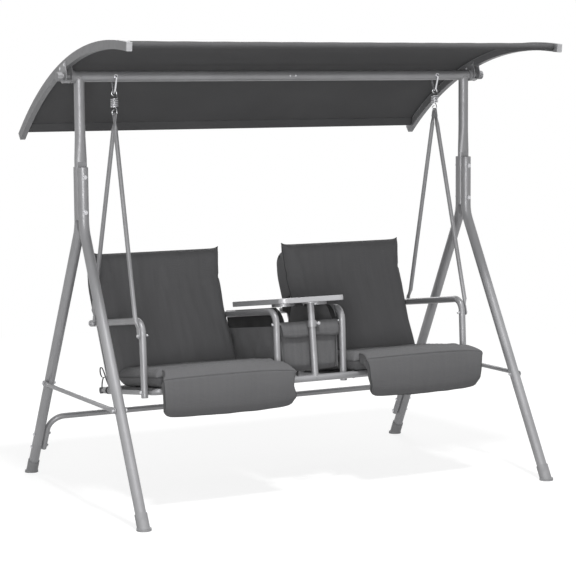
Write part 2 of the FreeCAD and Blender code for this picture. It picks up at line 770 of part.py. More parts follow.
def pivot_lift():
    """Distance from the canopy's pivot to the inner face of the rails, and the lean of that line."""
    line = V(0, 0, BAR_HEIGHT) - arch(0, 0, 0)
    return ARCH_RADIUS - RAIL_DEPTH - line.Length, math.degrees(math.atan2(line.y, line.z))


def leaned(shape):
    """Bracket pieces are built upright over the pivot and leaned to stand square to the rail."""
    moved = shape.copy()
    moved.rotate(V(0, 0, BAR_HEIGHT), X_AXIS, -pivot_lift()[1])
    return moved


def rivet_ends(side, sign):
    lift, lean = pivot_lift()
    height = lift + CHEEK_LAP / 2
    turn = math.radians(lean)
    along = sign * RIVET_SPACING / 2
    y = along * math.cos(turn) + height * math.sin(turn)
    z = BAR_HEIGHT - along * math.sin(turn) + height * math.cos(turn)
    reach = RAIL_WIDTH / 2 + CHEEK
    return V(side * (RAIL_X - reach), y, z), V(side * (RAIL_X + reach), y, z)


def rivet(start, end):
    along = unit(end - start)
    heads = [Part.makeCone(RIVET, RIVET / 2, RIVET_HEAD, start, along * -1),
             Part.makeCone(RIVET, RIVET / 2, RIVET_HEAD, end, along)]
    return cylinder(start, end, RIVET).multiFuse(heads)


def cheek(x):
    """One cheek of a bracket, with its lower corners rounded, built upright over the pivot."""
    low = BAR_HEIGHT - CHEEK_BELOW
    high = BAR_HEIGHT + pivot_lift()[0] + CHEEK_LAP
    edge = CHEEK_HALF
    turn_in = CHEEK_HALF - CHEEK_CORNER
    off = CHEEK_CORNER * (1 - math.sqrt(0.5))
    points = [V(x, -edge, high), V(x, -edge, low + CHEEK_CORNER), V(x, -turn_in, low),
              V(x, turn_in, low), V(x, edge, low + CHEEK_CORNER), V(x, edge, high)]
    outline = Part.Wire([Part.LineSegment(points[0], points[1]).toShape(),
                         Part.Arc(points[1], V(x, off - edge, low + off), points[2]).toShape(),
                         Part.LineSegment(points[2], points[3]).toShape(),
                         Part.Arc(points[3], V(x, edge - off, low + off), points[4]).toShape(),
                         Part.LineSegment(points[4], points[5]).toShape(),
                         Part.LineSegment(points[5], points[0]).toShape()])
    return Part.Face(outline).extrude(X_AXIS * CHEEK)


def bracket(side):
    """Pressed saddle: two cheeks over the rail, a floor below the pivot and a spacer round the stud."""
    inside = RAIL_WIDTH / 2
    floor_half = CHEEK_HALF - CHEEK_CORNER
    floor = BAR_HEIGHT - CHEEK_BELOW
    x = side * RAIL_X
    pieces = [cheek(x - inside - CHEEK), cheek(x + inside),
              slab(x - inside, x + inside, -floor_half, floor_half, floor, floor + CHEEK),
              cylinder(bar_axis(x - inside), bar_axis(x + inside), SPACER)]
    saddle = leaned(pieces[0].multiFuse(pieces[1:]).removeSplitter())
    reach = inside + 2 * CHEEK
    saddle = saddle.cut(cylinder(bar_axis(x - reach), bar_axis(x + reach), STUD + 2 * PIN_PLAY))
    for sign in (-1, 1):
        saddle = saddle.cut(bolt_hole(*rivet_ends(side, sign), RIVET))
    return saddle


def cheek_outer():
    return RAIL_X + RAIL_WIDTH / 2 + CHEEK


def make_knob(name, side):
    """Lobed clamp knob with a boss against the bracket and a blind bore for the stud."""
    boss_start = cheek_outer() + RUNNING
    face = boss_start + KNOB_BOSS_LENGTH
    body = cylinder(bar_axis(side * face), bar_axis(side * (face + KNOB_LENGTH)), KNOB)
    rims = [edge for edge in body.Edges if edge.Length > 2 * KNOB and edge.Closed]
    body = body.makeFillet(KNOB_LENGTH / 8, rims)
    flute_circle = KNOB / 2 + KNOB_FLUTE / 4
    for i in range(KNOB_LOBES):
        turn = 2 * math.pi * i / KNOB_LOBES
        centre = V(side * face, flute_circle * math.cos(turn), BAR_HEIGHT + flute_circle * math.sin(turn))
        body = body.cut(cylinder(centre, along_x(centre, side * (face + KNOB_LENGTH)), KNOB_FLUTE))
    boss = cylinder(bar_axis(side * boss_start), bar_axis(side * face), KNOB_BOSS)
    bore = cylinder(bar_axis(side * boss_start), bar_axis(side * (stud_end() + RUNNING)), STUD + 2 * PIN_PLAY)
    write(name + "_canopy_knob", body.fuse(boss).cut(bore))


def stud_end():
    return cheek_outer() + KNOB_BOSS_LENGTH + STUD_GRIP


def make_bar_ends():
    """Collared plugs in the bar's ends, each with the stud that the canopy tilts on."""
    collar_face = RAIL_X - RAIL_WIDTH / 2 - CHEEK - RUNNING
    plugs = []
    studs = []
    for side in SIDES.values():
        stem = cylinder(bar_axis(side * (BAR_HALF - PLUG_DEPTH)), bar_axis(side * BAR_HALF),
                        TUBE - 2 * TUBE_WALL - 2 * SLIP)
        collar = cylinder(bar_axis(side * BAR_HALF), bar_axis(side * collar_face), PLUG_COLLAR)
        stud_line = (bar_axis(side * (BAR_HALF - PLUG_DEPTH)), bar_axis(side * stud_end()))
        plugs.append(stem.fuse(collar).cut(cylinder(*stud_line, STUD)))
        studs.append(cylinder(*stud_line, STUD))
    write("bar_end_plugs", *plugs)
    write("pivot_studs", *studs)


# Seat frame


def post_y(height):
    """The front posts rake forward from foot to head."""
    share = (height - POST_FOOT_Z) / (ARM_HEIGHT - POST_FOOT_Z)
    return POST_FOOT_Y + share * (POST_HEAD_Y - POST_FOOT_Y)


def back_y(height):
    return BACK_FOOT_Y + height * math.tan(math.radians(BACK_LEAN))


def arm_points(x):
    return [V(x, POST_FOOT_Y, POST_FOOT_Z), V(x, POST_HEAD_Y, ARM_HEIGHT),
            V(x, back_y(ARM_HEIGHT) + ARM_OVERHANG, ARM_HEIGHT)]


def rail_line(y):
    reach = OUTER_RAIL_X + SEAT_TUBE / 2
    return V(-reach, y, 0), V(reach, y, 0)


def make_base():
    points = [V(-OUTER_RAIL_X, REAR_RAIL_Y, 0), V(-OUTER_RAIL_X, FRONT_RAIL_Y, 0),
              V(OUTER_RAIL_X, FRONT_RAIL_Y, 0), V(OUTER_RAIL_X, REAR_RAIL_Y, 0)]
    rear = cylinder(*rail_line(REAR_RAIL_Y), SEAT_TUBE)
    base = bent_tube(points, BASE_BEND, SEAT_TUBE, SEAT_WALL).cut(rear)
    for start, end in arm_bolts():
        base = base.cut(bolt_hole(start, end, SMALL_BOLT))
    write("seat_base_tube", tipped(base))
    write("seat_rear_rail", tipped(straight_tube(*rail_line(REAR_RAIL_Y), SEAT_TUBE, SEAT_WALL)))
    front = cylinder(*rail_line(FRONT_RAIL_Y), SEAT_TUBE)
    inner_rails = []
    for side in SIDES.values():
        x = side * INNER_RAIL_X
        rail = straight_tube(V(x, FRONT_RAIL_Y, 0), V(x, REAR_RAIL_Y, 0), SEAT_TUBE, SEAT_WALL)
        rail = rail.cut(front).cut(rear)
        for start, end in arm_bolts():
            rail = rail.cut(bolt_hole(start, end, SMALL_BOLT))
        inner_rails.append(tipped(rail))
    write("seat_inner_rails", *inner_rails)


def arm_x(side, place):
    """Arm tubes stand against the rails, outside the outer ones and on the table's side of the inner ones."""
    if place == "outer":
        return side * (OUTER_RAIL_X + SEAT_TUBE)
    return side * (INNER_RAIL_X - SEAT_TUBE)


def arm_faces(side, place):
    """Outside face of an arm tube, and inside face of the rail beside it."""
    if place == "outer":
        return side * (OUTER_RAIL_X + 1.5 * SEAT_TUBE), side * (OUTER_RAIL_X - SEAT_TUBE / 2)
    return side * (INNER_RAIL_X - 1.5 * SEAT_TUBE), side * (INNER_RAIL_X + SEAT_TUBE / 2)


def arm_bolts():
    """Cross bolts: post to side rail, and arm to back frame."""
    pairs = []
    for side in SIDES.values():
        for place in ("outer", "inner"):
            start, end = arm_faces(side, place)
            for y, z in ((post_y(0), 0), (back_y(ARM_HEIGHT), ARM_HEIGHT)):
                pairs.append((V(start, y, z), V(end, y, z)))
    return pairs


def hanger_bolts(side):
    """Hanger tabs on the outer arm tubes: through the post in front, into the arm behind."""
    outside = OUTER_RAIL_X + 1.5 * SEAT_TUBE
    inside = OUTER_RAIL_X + SEAT_TUBE / 2
    middle = OUTER_RAIL_X + SEAT_TUBE
    front = (V(side * outside, post_y(HANGER_POST_BOLT), HANGER_POST_BOLT), side * inside)
    rear = (V(side * outside, HANGER_ARM_BOLT_Y, ARM_HEIGHT), side * middle)
    return {"front": front, "rear": rear}


def make_arms():
    caps = []
    for name, side in SIDES.items():
        for place in ("outer", "inner"):
            x = arm_x(side, place)
            arm = bent_tube(arm_points(x), ARM_BEND, SEAT_TUBE, SEAT_WALL)
            for start, end in arm_bolts():
                arm = arm.cut(bolt_hole(start, end, SMALL_BOLT))
            if place == "outer":
                for face, end_x in hanger_bolts(side).values():
                    arm = arm.cut(bolt_hole(face, along_x(face, end_x), SMALL_BOLT))
            write(name + "_" + place + "_armrest", tipped(arm))
            foot, head, rear = arm_points(x)
            for end, inward in ((foot, unit(head - foot)), (rear, unit(head - rear))):
                lid = cylinder(end - inward * POST_CAP, end, SEAT_TUBE)
                stem = cylinder(end, end + inward * 2 * POST_CAP, SEAT_TUBE - 2 * SEAT_WALL - 2 * SLIP)
                caps.append(tipped(lid.fuse(stem)))
    write("armrest_caps", *caps)


def make_hangers():
    bolts = [tipped(through_bolt(start, end, SMALL_BOLT)) for start, end in arm_bolts()]
    for name, side in SIDES.items():
        for place, (face, end_x) in hanger_bolts(side).items():
            tab = X_AXIS * (side * TAB_THICK / 2)
            stack = ENDS[place] * -1 * (TAB_THICK + RUNNING) / 2
            eye = seat_frame(V(side * (LINK_X + stack), 0, hanger_eye_height()))
            rod = flat_ended_rod(eye, face + tab, side, HANGER, HANGER_WALL, SMALL_BOLT + 2 * SLIP,
                                 stand_off=(HANGER - TAB_THICK) / 2 + 2 * RUNNING)
            rod = rod.cut(cylinder(eye - X_AXIS * TAB_THICK, eye + X_AXIS * TAB_THICK, HANGER_EYE))
            write(name + "_" + place + "_hanger", tipped(rod))
            head = face + tab * 2
            if place == "front":
                bolts.append(tipped(through_bolt(head, along_x(head, end_x), SMALL_BOLT, domed=True)))
            else:
                bolts.append(tipped(blind_bolt(head, along_x(head, end_x), SMALL_BOLT)))
    write("seat_bolts", *bolts)


# Backs, slings and cushions


def back_line(offset):
    """Foot, kink and top of the back frame's side, moved forward of the tube's axis by offset."""
    lower = math.radians(BACK_LEAN)
    upper = math.radians(BACK_UPPER_LEAN)
    half = (lower - upper) / 2
    middle = (lower + upper) / 2
    rise = BACK_TOP - BACK_KINK
    foot = V(0, BACK_FOOT_Y, 0)
    kink = V(0, back_y(BACK_KINK), BACK_KINK)
    top = kink + V(0, rise * math.tan(upper), rise)
    return [foot + forward(lower) * offset, kink + forward(middle) * (offset / math.cos(half)),
            top + forward(upper) * offset]


def forward(lean):
    return V(0, -math.cos(lean), math.sin(lean))


def upward(lean):
    return V(0, math.sin(lean), math.cos(lean))


def at_x(points, x):
    return [V(x, point.y, point.z) for point in points]


def make_backs():
    for name, side in SIDES.items():
        line = back_line(0)
        points = at_x(line, side * OUTER_RAIL_X) + at_x(line[::-1], side * INNER_RAIL_X)
        bends = [BACK_KINK_BEND, BACK_BEND, BACK_BEND, BACK_KINK_BEND]
        back = bent_tube(points, bends, SEAT_TUBE, SEAT_WALL)
        for x in (side * OUTER_RAIL_X, side * INNER_RAIL_X):
            back = back.cut(cylinder(V(x, FRONT_RAIL_Y, 0), V(x, REAR_RAIL_Y, 0), SEAT_TUBE))
        for start, end in arm_bolts():
            back = back.cut(bolt_hole(start, end, SMALL_BOLT))
        write(name + "_back_frame", tipped(back))
    write("seat_slings", *[seat_sling(side) for side in SIDES.values()])
    write("back_slings", *[back_sling(side) for side in SIDES.values()])


def seat_span(side):
    return sorted((side * (INNER_RAIL_X - SLING_LAP), side * (OUTER_RAIL_X + SLING_LAP)))


def seat_sling(side):
    x0, x1 = seat_span(side)
    crown = SEAT_TUBE / 2
    rear_edge = BACK_FOOT_Y - SEAT_TUBE
    return tipped(slab(x0, x1, FRONT_RAIL_Y, rear_edge, crown, crown + SLING))


def back_sling(side):
    """Cloth across the front of the back frame, turning with it at the kink."""
    x0, x1 = seat_span(side)
    crown = SEAT_TUBE / 2
    faces = []
    for offset in (crown, crown + SLING):
        foot, kink, top = at_x(back_line(offset), x0)
        foot = foot + unit(kink - foot) * BACK_SLING_START
        faces.append(bent_path([foot, kink, top], BACK_KINK_BEND - offset))
    rear, front = faces
    edges = rear.Edges + front.Edges
    for i in (0, -1):
        ends = [face.OrderedVertexes[i].Point for face in faces]
        edges.append(Part.LineSegment(*ends).toShape())
    outline = Part.Wire(Part.__sortEdges__(edges))
    return tipped(Part.Face(outline).extrude(X_AXIS * (x1 - x0)))


def pad_section(origin, out, half_width, low, high, crown, bow):
    """Closed outline of four shallow arcs: a nearly flat underside, bowed sides and a crowned face."""
    def place(across, level):
        return origin + X_AXIS * across + out * level
    corners = [place(-half_width, low), place(half_width, low),
               place(half_width, high), place(-half_width, high)]
    middle = (low + high) / 2
    bulges = [place(0, low - bow), place(half_width + bow, middle),
              place(0, high + crown), place(-half_width - bow, middle)]
    arcs = [Part.Arc(corners[i], bulges[i], corners[(i + 1) % 4]).toShape() for i in range(4)]
    return Part.Wire(arcs)


def pad_middle(side):
    return side * ((OUTER_RAIL_X + INNER_RAIL_X) / 2 - PAD_SHIFT)


def fullness(share):
    """Rises steeply from 0 at both ends of a pad to 1 over its middle."""
    return (1 - abs(2 * share - 1) ** PAD_SQUARENESS) ** (1 / PAD_SQUARENESS)


def pad_shares(count):
    """Stations along a pad, closer together towards its ends."""
    return [(1 - math.cos(math.pi * i / (count - 1))) / 2 for i in range(count)]


def full_section(origin, out, half_width, thick, full):
    """Section of a pad where it is full, from 0 at its end seams to 1."""
    return pad_section(origin, out, half_width, PAD_SEAM_LOW * thick * (1 - full),
                       thick * (PAD_SEAM_HIGH + (1 - PAD_CROWN - PAD_SEAM_HIGH) * full),
                       thick * PAD_CROWN * (PAD_END_CROWN + (1 - PAD_END_CROWN) * full), PAD_BOW)


def make_seat_pad(name, side):
    """Boxed pad, crowned both ways, its sides drawn in between the corners."""
    base = SEAT_TUBE / 2 + SLING
    length = SEAT_PAD_REAR - SEAT_PAD_FRONT
    x = pad_middle(side)
    sections = []
    for share in pad_shares(PAD_STATIONS):
        half = PAD_WIDTH / 2 - PAD_DRAW * (1 - (2 * share - 1) ** 2)
        origin = V(x, SEAT_PAD_REAR - share * length, base)
        sections.append(full_section(origin, Z_AXIS, half, SEAT_PAD_THICK, fullness(share)))
    pad = Part.makeLoft(sections, True, False)
    below = slab(x - PAD_WIDTH, x + PAD_WIDTH, SEAT_PAD_FRONT - length, SEAT_PAD_REAR + length, -length, base)
    write(name + "_seat_cushion", tipped(pad.cut(below)))


def back_stations(offset, count):
    """Points and leans along the back, on a line in front of the tube's axis, past the top of the frame."""
    lower = math.radians(BACK_LEAN)
    upper = math.radians(BACK_UPPER_LEAN)
    radius = BACK_KINK_BEND - offset
    foot, kink, _ = back_line(offset)
    reach = radius * math.tan((lower - upper) / 2)
    straight = (kink - foot).Length - reach
    bend = radius * (lower - upper)
    centre = foot + upward(lower) * straight + forward(lower) * radius
    bend_end = centre - forward(upper) * radius
    length = straight + bend + (BACK_PAD_TOP - bend_end.z) / math.cos(upper) - BACK_PAD_START
    stations = []
    for share in pad_shares(count):
        run = BACK_PAD_START + share * length
        if run < straight:
            stations.append((share, foot + upward(lower) * run, lower, run - straight - bend / 2))
        elif run < straight + bend:
            lean = lower - (run - straight) / radius
            stations.append((share, centre - forward(lean) * radius, lean, run - straight - bend / 2))
        else:
            point = bend_end + upward(upper) * (run - straight - bend)
            stations.append((share, point, upper, run - straight - bend / 2))
    return stations


def make_back_pad(name, side):
    """Pad in two panels, pinched where the back turns upright, with ears at the top corners."""
    offset = SEAT_TUBE / 2 + SLING
    sections = []
    for share, point, lean, past_kink in back_stations(offset, BACK_PAD_STATIONS):
        pinch = math.exp(-(past_kink / BACK_PINCH_LENGTH) ** 2)
        half = PAD_WIDTH / 2 - PAD_DRAW * (1 - (2 * share - 1) ** 2) + BACK_PAD_EARS * share ** EAR_SHARPNESS
        thick = BACK_PAD_THICK * (1 - BACK_PINCH * pinch)
        origin = V(pad_middle(side), point.y, point.z)
        sections.append(full_section(origin, forward(lean), half, thick, fullness(share)))
    pad = Part.makeLoft(sections, True, False)
    write(name + "_back_cushion", tipped(pad.cut(behind_back(side, offset))))


def behind_back(side, offset):
    """Everything behind the front face of a back sling."""
    x0 = pad_middle(side) - PAD_WIDTH
    foot, kink, top = at_x(back_line(offset), x0)
    lower = foot - (kink - foot)
    upper = top + (top - kink)
    face = bent_path([lower, kink, upper], BACK_KINK_BEND - offset)
    far = V(0, PAD_WIDTH, 0)
    corners = [lower, lower + far, upper + far, upper]
    loop = [Part.LineSegment(start, end).toShape() for start, end in zip(corners, corners[1:])]
    outline = Part.Wire(Part.__sortEdges__(face.Edges + loop))
    return Part.Face(outline).extrude(X_AXIS * (2 * PAD_WIDTH))


def make_bolster(name, side):
    """Front pad that hangs from the seat cushion's front seam, with rounded lower corners."""
    height = BOLSTER_TOP - BOLSTER_BOTTOM
    widest = (BOLSTER_TOP - BOLSTER_SEAM) / height
    seam = SEAT_PAD_FRONT - PAD_GAP
    x = pad_middle(side)
    sections = []
    for share in pad_shares(BOLSTER_STATIONS):
        round_off = BOLSTER_ROUND * (1 - math.sqrt(1 - share ** CORNER_SHARPNESS))
        half = BOLSTER_WIDTH / 2 - PAD_DRAW * (1 - (2 * share - 1) ** 2) - round_off
        loss = BOLSTER_FOOT_DRAW * ((share - widest) / (1 - widest)) ** 2
        if share < widest:
            loss = BOLSTER_TOP_SLOPE * (1 - share / widest) ** 2
        origin = V(x, seam, BOLSTER_TOP - share * height)
        sections.append(full_section(origin, Y_AXIS * -1, half, BOLSTER_THICK * (1 - loss), fullness(share)))
    pad = Part.makeLoft(sections, True, False)
    reach = 2 * height
    behind = slab(x - BOLSTER_WIDTH, x + BOLSTER_WIDTH, seam, seam + reach, -reach, reach)
    write(name + "_front_bolster", tipped(pad.cut(behind)))


# Table and storage bag


def post_axis(z):
    return V(0, FRONT_RAIL_Y, z)


def make_table_post():
    lock = post_axis(COLLAR_TOP - COLLAR_HEIGHT / 2)
    boss_end = COLLAR / 2 + LOCK_BOSS_LENGTH
    screw_hole = bolt_hole(lock, along_x(lock, boss_end), LOCK_SCREW)
    post = straight_tube(post_axis(0), post_axis(COLLAR_TOP), SEAT_TUBE, SEAT_WALL)
    post = post.cut(cylinder(*rail_line(FRONT_RAIL_Y), SEAT_TUBE)).cut(screw_hole)
    write("table_post", tipped(post))
    collar = cylinder(post_axis(COLLAR_TOP - COLLAR_HEIGHT), post_axis(COLLAR_TOP), COLLAR)
    collar = collar.fuse(cylinder(lock, along_x(lock, boss_end), LOCK_BOSS))
    post_hole = cylinder(post_axis(COLLAR_TOP - COLLAR_HEIGHT), post_axis(COLLAR_TOP), SEAT_TUBE + 2 * SLIP)
    write("table_collar", tipped(collar.cut(post_hole).cut(screw_hole)))
    face = boss_end + RUNNING
    tip = SPINDLE / 2 + LOCK_BACKED_OFF
    shank = cylinder(along_x(lock, tip), along_x(lock, face), LOCK_SCREW - 2 * PIN_PLAY)
    head = cylinder(along_x(lock, face), along_x(lock, face + LOCK_KNOB_LENGTH), LOCK_KNOB)
    rims = [edge for edge in head.Edges if edge.Closed]
    head = head.makeFillet(LOCK_KNOB_LENGTH / 6, rims)
    write("table_lock_knob", tipped(head.fuse(shank)))


def cup_centres():
    return [V(sign * CUP_X, CUP_Y, TABLE_TOP) for sign in (-1, 1)]


def make_table():
    bottom = TABLE_TOP - TABLE_THICK
    seat = COLLAR_TOP + RUNNING
    neck = bottom - TABLE_FLANGE_THICK
    spindle = straight_tube(post_axis(COLLAR_TOP - SPINDLE_DEPTH), post_axis(neck), SPINDLE, SPINDLE_WALL)
    write("table_spindle", tipped(spindle))
    sleeve = cylinder(post_axis(seat), post_axis(neck), SEAT_TUBE)
    sleeve = sleeve.cut(cylinder(post_axis(seat), post_axis(neck), SPINDLE + 2 * SLIP))
    flange = cylinder(post_axis(neck), post_axis(bottom), TABLE_FLANGE)
    write("table_hub", tipped(sleeve.fuse(flange)))
    half = TABLE_WIDTH / 2
    top = slab(-half, half, TABLE_FRONT, TABLE_FRONT + TABLE_LENGTH, bottom, TABLE_TOP)
    middle = TABLE_FRONT + TABLE_LENGTH / 2
    for end, radius in ((-1, TABLE_CORNER), (1, TABLE_REAR_CORNER)):
        uprights = [edge for edge in top.Edges if abs(edge.tangentAt(0).z) > 0.9]
        top = top.makeFillet(radius, [edge for edge in uprights if end * (edge.CenterOfMass.y - middle) > 0])
    rims = [edge for face in top.Faces if abs(face.normalAt(0, 0).z) > 0.9 for edge in face.Edges]
    top = top.makeFillet(TABLE_EDGE, rims)
    liners = []
    for centre in cup_centres():
        floor = V(centre.x, centre.y, bottom - CUP_BELOW)
        ledge = centre - Z_AXIS * CUP_RIM_THICK
        top = top.cut(cylinder(floor, centre, CUP)).cut(cylinder(ledge, centre, CUP_RIM + 2 * SLIP))
        outside = CUP - 2 * SLIP
        liner = cylinder(floor, centre, outside).fuse(cylinder(ledge, centre, CUP_RIM))
        liner = liner.cut(cylinder(floor + Z_AXIS * CUP_WALL, centre, outside - 2 * CUP_WALL))
        liners.append(tipped(liner))
    write("table_top", tipped(top))
    write("cup_liners", *liners)


def bag_rod_lines():
    """Front rod on the rear side of the inner posts, rear rod between the back frames."""
    collar_clear = FRONT_RAIL_Y + COLLAR / 2 + BAG_ROD / 2 + 2 * BAG_CLOTH
    return {"front": (arm_x(1, "inner"), collar_clear, BAG_ROD_HEIGHT),
            "rear": (INNER_RAIL_X, back_y(BAG_REAR_HEIGHT), BAG_REAR_HEIGHT)}


def make_bag():
    stops = [bent_rod(arm_points(arm_x(side, "inner")), ARM_BEND, SEAT_TUBE) for side in SIDES.values()]
    for side in SIDES.values():
        foot, kink, _ = at_x(back_line(0), side * INNER_RAIL_X)
        stops.append(cylinder(foot, kink, SEAT_TUBE))
    lines = bag_rod_lines()
    rods = []
    hems = []
    for reach, y, z in lines.values():
        rod = cylinder(V(-reach, y, z), V(reach, y, z), BAG_ROD)
        for stop in stops:
            rod = rod.cut(stop)
        rods.append(tipped(rod))
        inside = BAG_HALF - BAG_CLOTH
        hem = cylinder(V(-inside, y, z), V(inside, y, z), BAG_ROD + 2 * SLIP + 2 * BAG_CLOTH)
        wall = slab(-inside, inside, y - BAG_CLOTH / 2, y + BAG_CLOTH / 2, BAG_BOTTOM + BAG_CLOTH, z)
        hems.append((hem.fuse(wall), cylinder(V(-reach, y, z), V(reach, y, z), BAG_ROD + 2 * SLIP)))
    front = lines["front"][1] - BAG_CLOTH / 2
    rear = lines["rear"][1] + BAG_CLOTH / 2
    bag = bag_body(front, rear, 0).cut(bag_body(front, rear, BAG_CLOTH))
    for mouth in bag_mouths(front, rear):
        bag = bag.cut(mouth)
    for hem, _ in hems:
        bag = bag.fuse(hem)
    for _, bore in hems:
        bag = bag.cut(bore)
    write("storage_bag", tipped(bag))
    write("bag_rods", *rods)


def bag_mouths(front, rear):
    """What is cut off above the front rod, up to the shoulder of the sides, and above the rear rod."""
    above = BAG_SIDE_TOP + BAG_ROD
    start = front - BAG_ROD
    outline = [(start, BAG_ROD_HEIGHT), (BAG_SHOULDER_Y, BAG_SIDE_TOP), (BAG_SHOULDER_Y, above), (start, above)]
    shoulder = prism([V(-2 * BAG_HALF, y, z) for y, z in outline], X_AXIS * (4 * BAG_HALF))
    inside = BAG_HALF - BAG_CLOTH
    notch = slab(-inside, inside, rear - 2 * BAG_CLOTH, rear + BAG_CLOTH, BAG_REAR_HEIGHT, above)
    return [shoulder, notch]


def bag_body(front, rear, inset):
    """Open-topped body, narrower at the bottom."""
    rings = []
    for z, taper in ((BAG_BOTTOM + inset, BAG_TAPER), (BAG_SIDE_TOP, 0)):
        half = BAG_HALF - inset - taper
        near = front + inset
        far = rear - inset
        corners = [V(-half, near, z), V(half, near, z), V(half, far, z), V(-half, far, z)]
        rings.append(Part.makePolygon(corners + corners[:1]))
    return Part.makeLoft(rings, True, True)


def main():
    os.makedirs("parts", exist_ok=True)
    make_top_bar()
    for name, side in SIDES.items():
        make_upright(name, side)
    make_legs()
    make_hanging_links()
    make_springs()
    make_canopy()
    make_bar_ends()
    make_base()
    make_arms()
    make_hangers()
    make_backs()
    for name, side in SIDES.items():
        make_seat_pad(name, side)
        make_back_pad(name, side)
        make_bolster(name, side)
    make_table_post()
    make_table()
    make_bag()


main()
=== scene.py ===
# %% [markdown]
# # A two-seat garden swing
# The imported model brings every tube, bolt and link of the swing at its real size. This lesson
# dresses it in Blender: paint and zinc for the metal, a stretched canopy, stuffed cushions, slings,
# a cloth bag and ribbon ties. All lengths are in metres, with +X to the viewer's right, +Y to the
# rear and +Z up. Each step prints what it made or measured.

# %% Load the frame
import json
import math

import bpy
import numpy as np
from mathutils import Matrix, Vector, noise


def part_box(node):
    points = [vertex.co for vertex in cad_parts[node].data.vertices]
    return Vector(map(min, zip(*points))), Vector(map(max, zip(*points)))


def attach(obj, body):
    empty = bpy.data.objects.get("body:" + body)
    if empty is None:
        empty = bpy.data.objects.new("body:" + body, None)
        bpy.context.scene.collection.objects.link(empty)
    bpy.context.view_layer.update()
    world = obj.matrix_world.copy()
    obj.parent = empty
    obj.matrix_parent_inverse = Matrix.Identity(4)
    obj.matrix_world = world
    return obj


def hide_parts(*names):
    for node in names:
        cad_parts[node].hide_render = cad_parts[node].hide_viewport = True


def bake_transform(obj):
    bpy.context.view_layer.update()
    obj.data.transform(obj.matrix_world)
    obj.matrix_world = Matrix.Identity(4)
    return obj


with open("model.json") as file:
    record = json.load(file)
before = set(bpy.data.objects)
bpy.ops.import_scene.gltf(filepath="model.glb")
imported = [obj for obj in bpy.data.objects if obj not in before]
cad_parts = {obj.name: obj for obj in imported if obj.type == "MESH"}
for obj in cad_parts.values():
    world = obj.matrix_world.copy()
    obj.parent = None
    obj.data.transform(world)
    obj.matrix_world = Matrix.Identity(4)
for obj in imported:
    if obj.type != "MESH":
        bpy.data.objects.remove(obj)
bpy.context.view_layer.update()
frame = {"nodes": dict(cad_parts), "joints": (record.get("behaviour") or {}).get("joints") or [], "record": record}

scene = bpy.context.scene
nodes = frame["nodes"]
SIDES = {"left": -1, "right": 1}

# %% [markdown]
# ## Camera
# The photograph was taken from the front left, a little above the seats, with a long lens from
# about seven metres. A Track To constraint could aim the camera at an empty, but it can't hold the
# slight roll of the picture. So the three axes are written out, rolled and put straight into the
# camera's matrix.

# %% Camera
CAMERA_AT = Vector((-3.196, -6.197, 1.464))
CAMERA_AZIMUTH = math.radians(-27.432)
CAMERA_ELEVATION = math.radians(6.0741)
CAMERA_ROLL = -0.0083
CAMERA_LENS = 115.85
SENSOR_WIDTH = 36.0
VIEW_DEPTH = 60.0


def aim_camera():
    back = Vector((math.sin(CAMERA_AZIMUTH) * math.cos(CAMERA_ELEVATION),
                   -math.cos(CAMERA_AZIMUTH) * math.cos(CAMERA_ELEVATION), math.sin(CAMERA_ELEVATION)))
    right = Vector((0, 0, 1)).cross(back).normalized()
    up = back.cross(right)
    cosine, sine = math.cos(CAMERA_ROLL), math.sin(CAMERA_ROLL)
    axes = Matrix((right * cosine + up * sine, up * cosine - right * sine, back)).transposed()
    return Matrix.Translation(CAMERA_AT) @ axes.to_4x4()


lens = bpy.data.cameras.new("camera")
lens.lens = CAMERA_LENS
lens.sensor_width = SENSOR_WIDTH
lens.clip_end = VIEW_DEPTH
camera = bpy.data.objects.new("camera", lens)
camera.matrix_world = aim_camera()
scene.collection.objects.link(camera)
scene.camera = camera
print("camera at", tuple(camera.location))

# %% [markdown]
# ## Sky
# The white walls of a studio light the swing softly from all round. A panorama of a studio could do
# that, but a plain white world needs no file. It lights things at a modest strength, and shows the
# camera and polished metal a full white: the Light Path node tells those rays from the light that
# falls on things.

# %% Sky
SKY_STRENGTH = 0.37


def add_node(tree, kind, values=(), **settings):
    """A shader node with its settings, and plain values on its inputs."""
    made = tree.nodes.new(kind)
    for key, value in settings.items():
        setattr(made, key, value)
    for key, value in dict(values).items():
        made.inputs[key].default_value = value
    return made


def seen_directly(tree):
    """1 for rays from the camera, metal or glass, and 0 for the light that falls on things."""
    path = add_node(tree, "ShaderNodeLightPath")
    seen = path.outputs["Is Camera Ray"]
    for ray in ("Is Glossy Ray", "Is Transmission Ray"):
        either = add_node(tree, "ShaderNodeMath", operation="MAXIMUM")
        tree.links.new(seen, either.inputs[0])
        tree.links.new(path.outputs[ray], either.inputs[1])
        seen = either.outputs[0]
    return seen


def make_sky():
    world = bpy.data.worlds.new("studio")
    world.use_nodes = True
    tree = world.node_tree
    strength = add_node(tree, "ShaderNodeMapRange", {"To Min": SKY_STRENGTH, "To Max": 1.0})
    tree.links.new(seen_directly(tree), strength.inputs["Value"])
    background = tree.nodes["Background"]
    background.inputs["Color"].default_value = (1, 1, 1, 1)
    tree.links.new(strength.outputs[0], background.inputs["Strength"])
    scene.world = world


make_sky()
print("sky: strength", SKY_STRENGTH)

# %% [markdown]
# ## Floor
# The floor is plain and pale, and holds the swing's soft shadow. A white plane would look grey in
# light this modest, and more light would bleach the cushions. So an emission that is only seen
# directly lifts the plane's own grey, which keeps the shadow, and further out the plane blends into
# pure white.

# %% Floor
FLOOR_GREY = 0.32
FLOOR_LIFT = 0.80
FLOOR_NEAR = 2.0
FLOOR_FAR = 4.5
FLOOR_HALF = 20.0


